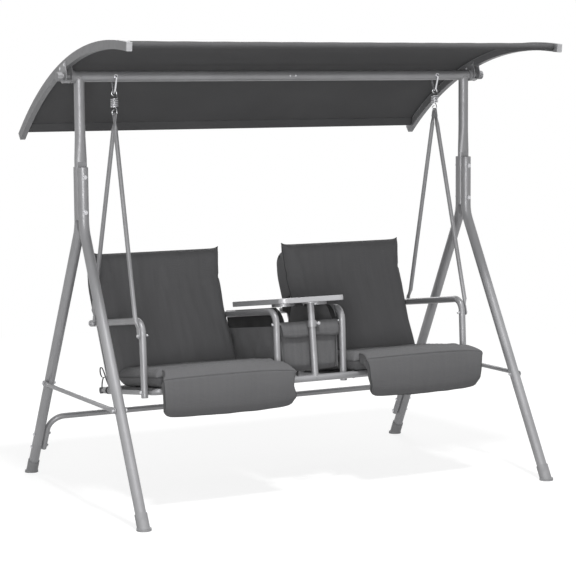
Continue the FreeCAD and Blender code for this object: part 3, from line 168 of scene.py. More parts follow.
def floor_finish():
    made = bpy.data.materials.new("pale_floor")
    made.use_nodes = True
    tree = made.node_tree
    tree.nodes.clear()
    link = tree.links.new
    near = add_node(tree, "ShaderNodeBsdfDiffuse", {"Color": (FLOOR_GREY, FLOOR_GREY, FLOOR_GREY, 1)})
    lift = add_node(tree, "ShaderNodeEmission", {"Color": (1, 1, 1, 1)})
    lifted = add_node(tree, "ShaderNodeAddShader")
    white = add_node(tree, "ShaderNodeEmission", {"Color": (1, 1, 1, 1), "Strength": 1.0})
    place = add_node(tree, "ShaderNodeNewGeometry")
    reach = add_node(tree, "ShaderNodeVectorMath", operation="LENGTH")
    spread = add_node(tree, "ShaderNodeMapRange", {"From Min": FLOOR_NEAR, "From Max": FLOOR_FAR},
                      interpolation_type="SMOOTHSTEP")
    direct = seen_directly(tree)
    amount = add_node(tree, "ShaderNodeMath", {1: FLOOR_LIFT}, operation="MULTIPLY")
    share = add_node(tree, "ShaderNodeMath", operation="MULTIPLY")
    mix = add_node(tree, "ShaderNodeMixShader")
    output = add_node(tree, "ShaderNodeOutputMaterial")
    link(direct, amount.inputs[0])
    link(amount.outputs[0], lift.inputs["Strength"])
    link(near.outputs[0], lifted.inputs[0])
    link(lift.outputs[0], lifted.inputs[1])
    link(place.outputs["Position"], reach.inputs[0])
    link(reach.outputs["Value"], spread.inputs["Value"])
    link(spread.outputs[0], share.inputs[0])
    link(direct, share.inputs[1])
    link(share.outputs[0], mix.inputs[0])
    link(lifted.outputs[0], mix.inputs[1])
    link(white.outputs[0], mix.inputs[2])
    link(mix.outputs[0], output.inputs["Surface"])
    return made


def make_floor():
    mesh = bpy.data.meshes.new("floor")
    corners = [(x * FLOOR_HALF, y * FLOOR_HALF, 0) for x, y in ((-1, -1), (1, -1), (1, 1), (-1, 1))]
    mesh.from_pydata(corners, [], [(0, 1, 2, 3)])
    mesh.materials.append(floor_finish())
    floor = bpy.data.objects.new("floor", mesh)
    scene.collection.objects.link(floor)


make_floor()
print("floor:", 2 * FLOOR_HALF, "m wide, white from", FLOOR_FAR, "m out")

# %% [markdown]
# ## Lamps
# Three round area lamps give the swing its shape. The key hangs high in front and lights the tops.
# The fill stands low at the front left, near the camera, for the fronts of the cushions, the
# underside of the canopy and the bright lines along the tubes. A weak one behind serves the other
# views. Sun lamps would give hard shadows, and a disk softens them.

# %% Lamps
LAMPS = {"key": {"at": (-0.7, -3.2, 8.0), "size": 1.2, "power": 490.0},
         "fill": {"at": (-3.4, -6.0, 1.2), "size": 2.4, "power": 205.0},
         "rear": {"at": (2.5, 6.0, 3.0), "size": 3.0, "power": 90.0}}
LAMP_AIM = Vector((0, 0, 0.8))


def make_lamp(name, facts):
    lamp = bpy.data.lights.new(name, "AREA")
    lamp.shape = "DISK"
    lamp.size = facts["size"]
    lamp.energy = facts["power"]
    made = bpy.data.objects.new(name, lamp)
    made.location = facts["at"]
    aim = LAMP_AIM - Vector(facts["at"])
    made.rotation_euler = aim.to_track_quat("-Z", "Y").to_euler()
    scene.collection.objects.link(made)


for name, facts in LAMPS.items():
    make_lamp(name, facts)
scene.view_settings.view_transform = "Standard"
print("lamps:", {name: facts["power"] for name, facts in LAMPS.items()})

# %% [markdown]
# ## What a finish is made of
# No real surface has one flat colour: paint clouds a little, and dust and wear change its gloss.
# Photographed textures could show that, but they need files and unwrapped meshes. Here each finish
# is a small node tree in object coordinates, which are metres, so a texture's scale is a real size.
# One noise mixes two near colours, and another raises the surface through a Bump node.

# %% What a finish is made of
NOISE_MIDDLE = (0.3, 0.7)


def grey(level, blue=1.03):
    return (level, level, level * blue)


def start_finish(name, roughness, metallic=0.0):
    made = bpy.data.materials.new(name)
    made.use_nodes = True
    shader = made.node_tree.nodes["Principled BSDF"]
    shader.inputs["Roughness"].default_value = roughness
    shader.inputs["Metallic"].default_value = metallic
    return made, made.node_tree, shader


def grain(tree, scale, detail=2.0, stretch=(1, 1, 1)):
    """Noise in object space, its scale in blotches per metre, drawn out along an axis by stretch."""
    where = add_node(tree, "ShaderNodeTexCoord")
    shape = add_node(tree, "ShaderNodeMapping", {"Scale": stretch})
    texture = add_node(tree, "ShaderNodeTexNoise", {"Scale": scale, "Detail": detail})
    tree.links.new(where.outputs["Object"], shape.inputs["Vector"])
    tree.links.new(shape.outputs["Vector"], texture.inputs["Vector"])
    return texture.outputs["Fac"]


def spread_between(tree, factor, low, high):
    """Maps the middle of a noise to a range of values."""
    middle_low, middle_high = NOISE_MIDDLE
    made = add_node(tree, "ShaderNodeMapRange", {"From Min": middle_low, "From Max": middle_high,
                                                 "To Min": low, "To Max": high})
    tree.links.new(factor, made.inputs["Value"])
    return made.outputs[0]


def two_colours(tree, factor, dark, light):
    ramp = add_node(tree, "ShaderNodeMix", {"A": (*dark, 1), "B": (*light, 1)}, data_type="RGBA")
    tree.links.new(spread_between(tree, factor, 0, 1), ramp.inputs["Factor"])
    return ramp.outputs["Result"]


def raise_surface(tree, shader, height, distance, strength=1.0):
    bump = add_node(tree, "ShaderNodeBump", {"Strength": strength, "Distance": distance})
    tree.links.new(height, bump.inputs["Height"])
    tree.links.new(bump.outputs["Normal"], shader.inputs["Normal"])


print("finishes: two colours span a noise of", NOISE_MIDDLE)

# %% [markdown]
# ## Paint, zinc and plastic
# The tubes are powder coated in silver, with a fine orange peel and a partly metallic shine. Bolts,
# links and springs are zinc plated: fully metallic, bright and streaky. Caps and feet are moulded
# plastic, and sewing thread is as dull; the same near-black finish also draws the bolsters' seam
# lines, as painted shade. One shader with three sets of numbers could serve them all, but three
# short functions say what makes each one different.

# %% Paint, zinc and plastic
def powder_coat(name, dark, light, roughness, metallic):
    made, tree, shader = start_finish(name, roughness, metallic)
    tree.links.new(two_colours(tree, grain(tree, scale=9.0), dark, light), shader.inputs["Base Color"])
    gloss = spread_between(tree, grain(tree, scale=70.0), roughness - 0.05, roughness + 0.06)
    tree.links.new(gloss, shader.inputs["Roughness"])
    raise_surface(tree, shader, grain(tree, scale=850.0, detail=1.0), distance=0.00015)
    return made


def plated(name, dark, light, roughness):
    made, tree, shader = start_finish(name, roughness, metallic=1.0)
    streaks = grain(tree, scale=240.0, detail=3.0)
    tree.links.new(two_colours(tree, streaks, dark, light), shader.inputs["Base Color"])
    gloss = spread_between(tree, grain(tree, scale=500.0), roughness - 0.08, roughness + 0.12)
    tree.links.new(gloss, shader.inputs["Roughness"])
    raise_surface(tree, shader, grain(tree, scale=1500.0, detail=1.0), distance=0.00005)
    return made


def moulded(name, dark, light, roughness):
    made, tree, shader = start_finish(name, roughness)
    tree.links.new(two_colours(tree, grain(tree, scale=40.0), dark, light), shader.inputs["Base Color"])
    raise_surface(tree, shader, grain(tree, scale=1400.0, detail=1.0), distance=0.0001)
    return made


FRAME_PAINT = powder_coat("silver_powder_coat", grey(0.29), grey(0.33), roughness=0.42, metallic=0.32)
# The rails' coat is a darker copy of the same silver: painted shade on their flat sides.
SHADED_RAIL_PAINT = powder_coat("rail_powder_coat_painted_shade", grey(0.205), grey(0.235), roughness=0.46, metallic=0.20)
TABLE_FINISH = powder_coat("table_silver", grey(0.45), grey(0.49), roughness=0.40, metallic=0.25)
WELD = powder_coat("painted_weld", grey(0.31), grey(0.36), roughness=0.46, metallic=0.25)
ZINC = plated("bright_zinc", grey(0.52), grey(0.72), roughness=0.28)
CUP_STEEL = plated("brushed_cup_steel", grey(0.24), grey(0.34), roughness=0.45)
GREY_PLASTIC = moulded("grey_plastic", grey(0.25), grey(0.29), roughness=0.5)
# The rails' end caps get a paler copy of the grey plastic: a painted highlight on their front faces.
CAP_PLASTIC_PAINTED_HIGHLIGHT = moulded("pale_cap_plastic_painted_highlight", grey(0.42), grey(0.48), roughness=0.45)
# Near-black: the canopy's sewing thread, and painted shade along the bolsters' seams.
THREAD_AND_SEAM_SHADE = moulded("thread_and_seam_shade", grey(0.035), grey(0.055), roughness=0.8)
print("hard finishes: powder coat of", len(FRAME_PAINT.node_tree.nodes), "nodes, zinc of",
      len(ZINC.node_tree.nodes))

# %% [markdown]
# ## Cloth
# Canopy, cushions, slings and bag are plain weaves of a dark yarn. Real threads would be millions
# of faces, and an image of a weave needs unwrapped meshes. So fine ridges across X, Y and Z are
# added up and raised by a bump: on any face at least two sets of them cross. A low sheen gives the
# edges the soft glow of fibres.

# %% Cloth
CLOTH_ROUGHNESS = 0.82
SHEEN_ROUGHNESS = 0.45
CLOTH_SPECULAR = 0.25
THREAD_HEIGHT = 0.0002
EVEN = (1.0, 1.0, 1.0)
STREAKED = (14.0, 1.0, 1.0)


def bands(tree, direction, pitch):
    """Fine ridges across one axis, a pitch apart."""
    where = add_node(tree, "ShaderNodeTexCoord")
    values = {"Scale": math.pi / 10 / pitch, "Distortion": 0.4, "Detail": 1.0, "Detail Scale": 2.0}
    wave = add_node(tree, "ShaderNodeTexWave", values, bands_direction=direction)
    tree.links.new(where.outputs["Object"], wave.inputs["Vector"])
    return wave.outputs["Fac"]


def added(tree, first, second):
    total = add_node(tree, "ShaderNodeMath", operation="ADD")
    tree.links.new(first, total.inputs[0])
    tree.links.new(second, total.inputs[1])
    return total.outputs[0]


def woven(name, dark, light, pitch, sheen, streak=STREAKED):
    """Plain weave: threads one pitch apart, yarns that differ a little, and faint streaks."""
    made, tree, shader = start_finish(name, CLOTH_ROUGHNESS)
    shader.inputs["Sheen Weight"].default_value = sheen
    shader.inputs["Sheen Roughness"].default_value = SHEEN_ROUGHNESS
    shader.inputs["Specular IOR Level"].default_value = CLOTH_SPECULAR
    threads = bands(tree, "X", pitch)
    for direction in ("Y", "Z"):
        threads = added(tree, threads, bands(tree, direction, pitch))
    yarn = added(tree, grain(tree, scale=420.0), grain(tree, scale=5.0, detail=3.0, stretch=streak))
    half = add_node(tree, "ShaderNodeMath", {1: 0.5}, operation="MULTIPLY")
    tree.links.new(yarn, half.inputs[0])
    tree.links.new(two_colours(tree, half.outputs[0], dark, light), shader.inputs["Base Color"])
    raise_surface(tree, shader, threads, THREAD_HEIGHT, strength=0.8)
    return made


CUSHION_CLOTH = woven("cushion_weave", grey(0.120), grey(0.134), pitch=0.0016, sheen=0.10)
# Darker than the cushion weave: painted shade along the cushions' seams.
WELT_PAINTED_SHADE_CLOTH = woven("welt_weave_painted_shade", grey(0.050), grey(0.065), pitch=0.0010, sheen=0.10)
CANOPY_CLOTH = woven("canopy_weave", grey(0.080), grey(0.102), pitch=0.0014, sheen=0.05, streak=EVEN)
SLING_CLOTH = woven("sling_mesh", grey(0.045), grey(0.07), pitch=0.0030, sheen=0.05)
BAG_CLOTH = woven("bag_weave", grey(0.10), grey(0.14), pitch=0.0015, sheen=0.10)
# A lighter copy of the bag weave for the side panels: painted light where they catch the lamps.
BAG_SIDE_PAINTED_LIGHT_CLOTH = woven("bag_side_weave_painted_light", grey(0.145), grey(0.180), pitch=0.0015, sheen=0.10)
# Near-black: painted shade for the bands along the bag's sides and for its front corners.
PAINTED_SHADE_BAND_CLOTH = woven("bag_band_weave_painted_shade", grey(0.016), grey(0.026), pitch=0.0012, sheen=0.05)
RIBBON_CLOTH = woven("ribbon_weave", grey(0.07), grey(0.10), pitch=0.0012, sheen=0.2)
print("cloth: cushion weave of", len(CUSHION_CLOTH.node_tree.nodes), "nodes")

# %% [markdown]
# ## Painting the imported parts
# Each imported part names a material slot. Finishes could be put on part by part, but a dictionary
# from slot to finish does it in one loop, and a new bolt is zinc without another line. Three parts
# differ: the rails' end caps get a paler plastic, a painted highlight on their front faces, and the
# flat sides of the two arched rails get a darker copy of the tubes' powder coat, painted shade for
# faces that take little of the lamps' shine.

# %% Painting the imported parts
FINISH_OF_SLOT = {"frame_paint": FRAME_PAINT, "zinc": ZINC, "grey_plastic": GREY_PLASTIC,
                  "table_plastic": TABLE_FINISH, "cup_steel": CUP_STEEL, "canopy_fabric": CANOPY_CLOTH,
                  "sling_fabric": SLING_CLOTH, "cushion_fabric": CUSHION_CLOTH, "bag_fabric": BAG_CLOTH}
FINISH_OF_NODE = {"rail_end_caps": CAP_PLASTIC_PAINTED_HIGHLIGHT, "canopy_left_rail": SHADED_RAIL_PAINT,
                  "canopy_right_rail": SHADED_RAIL_PAINT}


def paint_frame():
    for subpart in frame["record"]["subparts"]:
        finish = FINISH_OF_NODE.get(subpart["node"], FINISH_OF_SLOT[subpart["material_slot"]])
        mesh = nodes[subpart["node"]].data
        mesh.materials.clear()
        mesh.materials.append(finish)


paint_frame()

# %% [markdown]
# ## Pieces and grids
# Every soft piece here is a formula for where its points go, so two small tools do for all of them:
# a grid of points becomes quads, and points with faces become a piece that rides on a body.
# Modelling by hand or a chain of modifiers are other ways, but plain lists of points give the same
# mesh at every run.

# %% Pieces and grids
def make_piece(name, points, faces, finish, body, slot):
    mesh = bpy.data.meshes.new(name)
    mesh.from_pydata([tuple(point) for point in points], [], faces)
    mesh.update()
    mesh.materials.append(finish)
    mesh.polygons.foreach_set("use_smooth", [True] * len(mesh.polygons))
    piece = bpy.data.objects.new(name, mesh)
    scene.collection.objects.link(piece)
    if body:
        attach(piece, body)
    return piece


def grid_faces(rows, columns, close_rows=False, close_columns=False):
    """Quads of a grid whose points are stored row by row."""
    faces = []
    for i in range(rows if close_rows else rows - 1):
        for j in range(columns if close_columns else columns - 1):
            k, m = (i + 1) % rows, (j + 1) % columns
            faces.append((i * columns + j, i * columns + m, k * columns + m, k * columns + j))
    return faces


def joined(*parts):
    """Several lists of points and faces as one."""
    points, faces = [], []
    for more_points, more_faces in parts:
        faces += [tuple(k + len(points) for k in face) for face in more_faces]
        points += list(more_points)
    return points, faces


print("a grid of 3 by 4 points:", len(grid_faces(3, 4)), "quads")

# %% [markdown]
# ## Tubes
# Springs, welts, weld beads and stitches are all round and thin. A curve with a bevel makes such a
# tube, but it has to be turned into a mesh and may twist at a bend. So a ring of points is carried
# along the path: at each point the last ring's side is laid square to the new direction, which
# keeps it from turning, and open ends get a lid.

# %% Tubes
def capped(faces, rings, sides):
    """The faces of a row of rings, with a lid on the first and the last."""
    first, last = range(sides), range((rings - 1) * sides, rings * sides)
    return faces + [tuple(reversed(first)), tuple(last)]


def tube(path, radius, sides, closed=False):
    """Points and faces of a round tube along a path. The ring is carried along without twisting."""
    path = [Vector(point) for point in path]
    count = len(path)
    points = []
    side = None
    for i in range(count):
        before = path[i - 1] if closed or i else path[i]
        after = path[(i + 1) % count] if closed or i < count - 1 else path[i]
        along = (after - before).normalized()
        if side is None:
            side = along.orthogonal()
        side = (side - along * side.dot(along)).normalized()
        other = along.cross(side)
        for j in range(sides):
            turn = 2 * math.pi * j / sides
            points.append(path[i] + (side * math.cos(turn) + other * math.sin(turn)) * radius)
    faces = grid_faces(count, sides, close_rows=closed, close_columns=True)
    return points, faces if closed else capped(faces, count, sides)


print("a tube of three rings:", len(tube([(0, 0, 0), (0, 0, 1), (0, 0, 2)], 0.1, 8)[1]), "faces")

# %% [markdown]
# ## Sheets
# Canopy, slings, pockets and bag are cloth about a millimetre thick. A single layer of faces would
# look right from one side only and vanish edge on. The Solidify modifier gives it a second side and
# a rim, half to each side, and is applied at once, so the mesh is final. Two measures go with it:
# the length of a path, and the flat size that a grid of cloth was cut to.

# %% Sheets
def make_sheet(name, points, faces, finish, thickness, body, slot):
    sheet = make_piece(name, points, faces, finish, None, slot)
    solidify = sheet.modifiers.new("thickness", "SOLIDIFY")
    solidify.thickness = thickness
    solidify.offset = 0.0
    graph = bpy.context.evaluated_depsgraph_get()
    made = bpy.data.meshes.new_from_object(sheet.evaluated_get(graph))
    sheet.modifiers.clear()
    thin = sheet.data
    sheet.data = made
    bpy.data.meshes.remove(thin)
    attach(sheet, body)
    return sheet


def path_length(path):
    spots = [np.array(tuple(point)) for point in path]
    return sum(float(np.linalg.norm(b - a)) for a, b in zip(spots, spots[1:]))


def flat_size(points, rows, columns):
    """Mean lengths of a grid across its rows and along its columns: the size its cloth was cut to."""
    grid = np.array([tuple(point) for point in points]).reshape(rows, columns, 3)
    across = np.mean([path_length(row) for row in grid])
    along = np.mean([path_length(grid[:, j]) for j in range(columns)])
    return float(across), float(along)


print("a unit square is cut to", flat_size([(0, 0, 0), (1, 0, 0), (0, 1, 0), (1, 1, 0)], 2, 2))

# %% [markdown]
# ## The seat's own frame
# The whole seat unit is tipped back by a few degrees. Soft pieces could be modelled level and then
# turned as objects, but their points have to fit parts that aren't turned. So each point is drawn
# in the level seat frame and tipped by one function. The table's pivot stands square to the seat,
# and its axis gives the angle.

# %% The seat's own frame
swivel = next(joint for joint in frame["joints"] if joint["name"] == "table_swivel")
SEAT_TIP = math.atan2(swivel["axis"][1], swivel["axis"][2])
SEAT_BASE = 0.381
SEAT_TUBE = 0.025
OUTER_RAIL = 0.642
INNER_RAIL = 0.162


def seat_point(x, y, z):
    """A point of the level seat frame, in the swing's frame."""
    cosine, sine = math.cos(SEAT_TIP), math.sin(SEAT_TIP)
    return Vector((x, y * cosine + z * sine, SEAT_BASE - y * sine + z * cosine))


def seat_spot(point):
    """The inverse of seat_point: the y and z of a point of the swing, in the level seat frame."""
    cosine, sine = math.cos(SEAT_TIP), math.sin(SEAT_TIP)
    height = point[2] - SEAT_BASE
    return np.array((point[1] * cosine - height * sine, point[1] * sine + height * cosine))


SEAT_UP = seat_point(0, 0, 1) - seat_point(0, 0, 0)
SEAT_BACK = seat_point(0, 1, 0) - seat_point(0, 0, 0)
print("seat tipped by", round(math.degrees(SEAT_TIP), 2), "degrees")

# %% [markdown]
# ## Springs: the wire's path
# Each side of the seat hangs from a zinc coil spring with a hook at either end. The Screw modifier
# makes a helix, but no hooks. So the wire is one path: three quarters of a ring, a bend, a helix,
# and the same bend and ring turned over.

# %% Springs: the wire's path
SPRING_WIRE = 0.0038
WIRE_SIDES = 12
COIL_RADIUS = 0.0125
COIL_START = math.radians(60)
COIL_TURNS = 4
COIL_STEPS = 150
HOOK_RADIUS = 0.0095
HOOK_SWEEP = math.radians(265)
HOOK_DROP = 0.019
HOOK_STEPS = 24
BEND_REACH = 0.022
BEND_STEPS = 10


def hermite(start, start_way, end, end_way, steps):
    """Points of a smooth bend between two points with given directions, without its ends."""
    points = []
    for i in range(1, steps):
        t = i / steps
        points.append(start * (2 * t**3 - 3 * t**2 + 1) + start_way * (t**3 - 2 * t**2 + t)
                      + end * (3 * t**2 - 2 * t**3) + end_way * (t**3 - t**2))
    return points


def spring_path(x, low, high):
    """The middle line of the wire, from the tip of the upper hook to the tip of the lower one."""
    middle = (low + high) / 2
    hook_centre = high - SPRING_WIRE / 2 - HOOK_RADIUS
    coil_top = hook_centre - HOOK_DROP
    sweep = 2 * math.pi * (COIL_TURNS + 1) - 2 * COIL_START
    fall = 2 * (coil_top - middle)
    hook, coil = [], []
    for i in range(HOOK_STEPS + 1):
        turn = HOOK_SWEEP * (1 - i / HOOK_STEPS)
        hook.append(Vector((x + HOOK_RADIUS * math.cos(turn), 0,
                            hook_centre + HOOK_RADIUS * math.sin(turn))))
    for i in range(COIL_STEPS + 1):
        turn = -COIL_START - sweep * i / COIL_STEPS
        coil.append(Vector((x + COIL_RADIUS * math.cos(turn), COIL_RADIUS * math.sin(turn),
                            coil_top - fall * i / COIL_STEPS)))
    way_in = (coil[1] - coil[0]).normalized() * BEND_REACH
    bend = hermite(hook[-1], Vector((0, 0, -BEND_REACH)), coil[0], way_in, BEND_STEPS)
    tail = [Vector((p.x, -p.y, 2 * middle - p.z)) for p in reversed(hook + bend)]
    return hook + bend + coil + tail


spring_low, spring_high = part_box("left_spring")
print("spring wire:", round(path_length(spring_path(0, spring_low.z, spring_high.z)), 3), "m long")

# %% [markdown]
# ## Springs
# A round tube along the path is the wire, and it takes the place of the imported spring. The seat
# sinks on its springs, but this wire rides on no body: it stays where the imported spring stands,
# and its coil doesn't stretch.

# %% Springs
def make_springs():
    for name in SIDES:
        low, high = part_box(name + "_spring")
        x = (low.x + high.x) / 2
        points, faces = tube(spring_path(x, low.z, high.z), SPRING_WIRE / 2, WIRE_SIDES)
        spring = make_piece(name + "_coil_spring", points, faces, ZINC, None, "zinc")
        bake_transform(spring)
        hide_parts(name + "_spring")


make_springs()
print("springs: two, each", COIL_TURNS, "turns and two hooks")

# %% [markdown]
# ## The canopy's arch and hems
# The canopy is one sheet between two arched rails. Its front and rear edges are sewn into pockets
# round the cross tubes, and in section such a pocket is a teardrop: flat from the stitching, then
# round the tube. A plain ring would leave a gap at the stitching, so the flat part runs from there
# to the ring along a tangent.

# %% The canopy's arch and hems
ARCH_RADIUS = 1.400
ARCH_Y = -0.400
ARCH_Z = 0.237
CLOTH_DROP = 0.003
CLOTH_RADIUS = ARCH_RADIUS - CLOTH_DROP
CANOPY_THICK = 0.0012
HEM_TUBE = 0.016
HEM_ROLL = 0.0095
HEM_SEWN = 0.026
HEM_FLAT_STEPS = 5
HEM_ROUND_STEPS = 17


def arch_point(x, radius, angle):
    return Vector((x, ARCH_Y + radius * math.sin(angle), ARCH_Z + radius * math.cos(angle)))


def hem_angles():
    """Angles of the two cross tubes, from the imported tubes' own box."""
    low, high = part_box("canopy_cross_tubes")
    radius = CLOTH_RADIUS - HEM_TUBE / 2
    front = math.asin((low.y + HEM_TUBE / 2 - ARCH_Y) / radius)
    rear = math.asin((high.y - HEM_TUBE / 2 - ARCH_Y) / radius)
    return front, rear


def hem_outline():
    """The pocket from its stitching, along the underside and round the tube, as inward and upward."""
    sewn = np.array((HEM_SEWN, HEM_ROLL - CANOPY_THICK))
    reach = float(np.linalg.norm(sewn))
    leaves = math.atan2(sewn[1], sewn[0]) - math.acos(HEM_ROLL / reach)
    turns = np.linspace(leaves, -1.5 * math.pi, HEM_ROUND_STEPS)
    ring = [HEM_ROLL * np.array((math.cos(turn), math.sin(turn))) for turn in turns]
    return [sewn + (ring[0] - sewn) * i / HEM_FLAT_STEPS for i in range(HEM_FLAT_STEPS)] + ring


print("canopy hems at", [round(math.degrees(angle), 1) for angle in hem_angles()], "degrees")

# %% [markdown]
# ## The canopy's cloth
# The cloth is pulled tight from front to back, sinks a little in the middle and puckers finely
# along its hems. A cloth simulation with pinned edges would find that shape, but takes long to
# tune. A grid along the arch does it with a sag and one fine wave, and rolls straight on into the
# hems, so hems and cloth are one mesh.

# %% The canopy's cloth
CLOTH_HALF = 0.841
CANOPY_COLUMNS = 121
CANOPY_ROWS = 81
CANOPY_SAG = 0.007
PULL_DEPTH = 0.0012
PULL_WAVES = 38


def canopy_point(across, share, angle):
    """A point of the open cloth: across goes from -1 to 1, share from 0 in front to 1 at the rear."""
    sag = CANOPY_SAG * (1 - across**4) * math.sin(math.pi * share)
    pull = PULL_DEPTH * math.sin(PULL_WAVES * across + 3 * share) * (1 - math.sin(math.pi * share)) ** 3
    return arch_point(across * CLOTH_HALF, CLOTH_RADIUS - sag - pull * (1 - across**8), angle)


def hem_point(across, angle, way, spot):
    """A point of a hem, from its spot in the outline. way is 1 in front and -1 at the rear."""
    x = across * CLOTH_HALF
    centre = arch_point(x, CLOTH_RADIUS - HEM_ROLL, angle)
    along = Vector((0, math.cos(angle), -math.sin(angle)))
    up = (arch_point(x, CLOTH_RADIUS, angle) - centre).normalized()
    return centre + along * (way * spot[0]) + up * spot[1]


def make_canopy():
    front, rear = hem_angles()
    hem = hem_outline()
    places = [2 * j / (CANOPY_COLUMNS - 1) - 1 for j in range(CANOPY_COLUMNS)]
    points = [hem_point(across, front, 1, spot) for spot in hem[:-1] for across in places]
    for share in np.linspace(0, 1, CANOPY_ROWS):
        angle = front + (rear - front) * share
        points += [canopy_point(across, (angle - front) / (rear - front), angle) for across in places]
    points += [hem_point(across, rear, -1, spot) for spot in hem[-2::-1] for across in places]
    faces = grid_faces(len(points) // CANOPY_COLUMNS, CANOPY_COLUMNS)
    cloth = make_sheet("canopy_sheet", points, faces, CANOPY_CLOTH, CANOPY_THICK, "canopy",
                       "canopy_fabric")
    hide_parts("canopy_cloth")
    length = CLOTH_RADIUS * (rear - front) + 2 * path_length(hem)
    return length


print("canopy: flat", round(2 * CLOTH_HALF, 3), "by", round(make_canopy(), 3), "m")

# %% [markdown]
# ## Cushions: the pillow tool
# A stuffed cushion is two panels sewn together round the edge, so the seam lies halfway up and the
# panels rise from it like a quarter of an ellipse before they run flat. That could be blown up by a
# cloth simulation, but a formula for the height over the distance from the seam gives the same full
# edge and pointed corners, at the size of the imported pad, and the same result each time. Creases,
# puckers and a slight unevenness are added to that height.

# %% Cushions: the pillow tool
EDGE_STEPS = 9
STATION_STEP = 0.011


def rise(distance, reach):
    """Height of a panel over its distance from the seam: 0 at the seam, 1 where the edge ends."""
    share = min(1.0, max(0.0, distance / reach))
    return math.sqrt(1 - (1 - share) ** 2)


def edge_spaced(length, reach):
    """Distances from 0 to length, crowded towards both ends, where the panel rises."""
    first = [reach * (1 - math.cos(0.5 * math.pi * i / EDGE_STEPS)) for i in range(EDGE_STEPS)]
    count = max(1, round((length - 2 * reach) / STATION_STEP))
    inner = [reach + (length - 2 * reach) * i / count for i in range(count + 1)]
    return first + inner + [length - d for d in reversed(first)]


def within(value, low, high):
    """Share of the way from low to high, kept from 0 to 1."""
    return min(1.0, max(0.0, (value - low) / (high - low)))


def crease(distance, width):
    return math.exp(-((distance / width) ** 2))


def unevenness(x, y, seed, size):
    """Soft lumps of filling, from -1 to 1, about as far apart as size."""
    return noise.noise(Vector((x / size, y / size, seed)))


def pillow(spots, columns):
    """Points and faces of a stuffed pad. spots holds a front and a back row for each station."""
    points = []
    for front, back in spots:
        points += front + back[::-1]
    rows = len(spots)
    around = 2 * columns
    faces = grid_faces(rows, around, close_columns=True)
    for row, flip in ((0, True), (rows - 1, False)):
        start = row * around
        for j in range(columns - 1):
            quad = (start + j, start + j + 1, start + around - 2 - j, start + around - 1 - j)
            faces.append(quad if flip else quad[::-1])
    return points, faces


print("stations along half a metre:", len(edge_spaced(0.5, 0.03)))

# %% [markdown]
# ## Welts and pads
# A welt, a cord sewn into the seam, draws the outline of every cushion. A bevelled curve would
# make one, but the seam's points are at hand in the stations, so the tube tool runs round them. The
# welt's weave is darker than the cover's: painted shade for the groove along the seam. The cover and
# its welt are made together, and the cover takes the place of the imported pad.

# %% Welts and pads
WELT_RADIUS = 0.0016
WELT_SIDES = 6


def seam_round(spots):
    """The seam round a pad: its first station, one side, the last station and the other side."""
    left = [front[0] for front, _ in spots]
    right = [front[-1] for front, _ in spots]
    return spots[0][0][:-1] + right[:-1] + spots[-1][0][:0:-1] + left[:0:-1]


def make_pad(node, spots, columns, fill):
    points, faces = pillow(spots, columns)
    pad = make_piece(node + "_cover", points, faces, CUSHION_CLOTH, "seat", "cushion_fabric")
    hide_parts(node)
    welt = tube(seam_round(spots), WELT_RADIUS, WELT_SIDES, closed=True)
    # The welt's dark weave is painted shade of the seam's groove.
    make_piece(node + "_welt", *welt, WELT_PAINTED_SHADE_CLOTH, "seat", "cushion_fabric")


print("welts:", 2 * WELT_RADIUS, "m thick")

# %% [markdown]
# ## Seat cushions
# The seat pad lies flat on its sling. Its front seam and its sides pucker where the sewing draws
# the cloth in, and the filling is a little uneven. Sculpting could add all that by hand, but here
# it is a sum: small waves that fade out away from the seams, and a soft noise over the whole pad.

# %% Seat cushions
PAD_HALF = 0.246
PAD_SHIFT = 0.0045
PAD_BASE = SEAT_TUBE / 2 + 0.0022
SEAT_PAD = {"rear": 0.080, "front": -0.2795, "thick": 0.0705, "edge": 0.030, "end": 0.030,
            "waist": 0.005, "crown": 0.05, "fill": 0.7}
FRONT_PUCKER = {"depth": 0.0022, "waves": 46}
SIDE_PUCKER = {"depth": 0.0024, "waves": 210}
PUCKER_REACH = 0.034
SEAT_LUMP = {"depth": 0.0020, "size": 0.085}


def pad_middle(side):
    return side * ((OUTER_RAIL + INNER_RAIL) / 2 - PAD_SHIFT)


def seat_pad_rows(side):
    """Stations of a seat pad from the rear to the front, with puckers along its seams."""
    facts = SEAT_PAD
    middle = pad_middle(side)
    length = facts["rear"] - facts["front"]
    thick = facts["thick"] / 2
    level = PAD_BASE + thick
    across = edge_spaced(2 * PAD_HALF, facts["edge"])
    spots = []
    for run in edge_spaced(length, facts["end"]):
        from_end = min(run, length - run)
        half = PAD_HALF - facts["waist"] * (1 - (2 * run / length - 1) ** 2)
        y = facts["rear"] - run
        front, back = [], []
        for d in across:
            share = d / PAD_HALF - 1
            from_side = min(d, 2 * PAD_HALF - d)
            full = rise(from_side, facts["edge"]) * rise(from_end, facts["end"])
            x = middle + share * half
            pucker = FRONT_PUCKER["depth"] * math.sin(share * FRONT_PUCKER["waves"] + side)
            pucker *= crease(length - run, PUCKER_REACH)
            pucker += (SIDE_PUCKER["depth"] * math.sin(run * SIDE_PUCKER["waves"] + 2 * share)
                       * crease(from_side, PUCKER_REACH))
            lump = SEAT_LUMP["depth"] * unevenness(x, y, 3.1 + side, SEAT_LUMP["size"])
            crown = 1 - facts["crown"] * share**2
            front.append(seat_point(x, y, level + thick * full * crown + (pucker + lump) * full))
            back.append(seat_point(x, y, level - thick * full))
        spots.append((front, back))
    return spots, len(across)


for name, side in SIDES.items():
    make_pad(name + "_seat_cushion", *seat_pad_rows(side), SEAT_PAD["fill"])
print("seat cushions: two,", SEAT_PAD["thick"], "m thick")

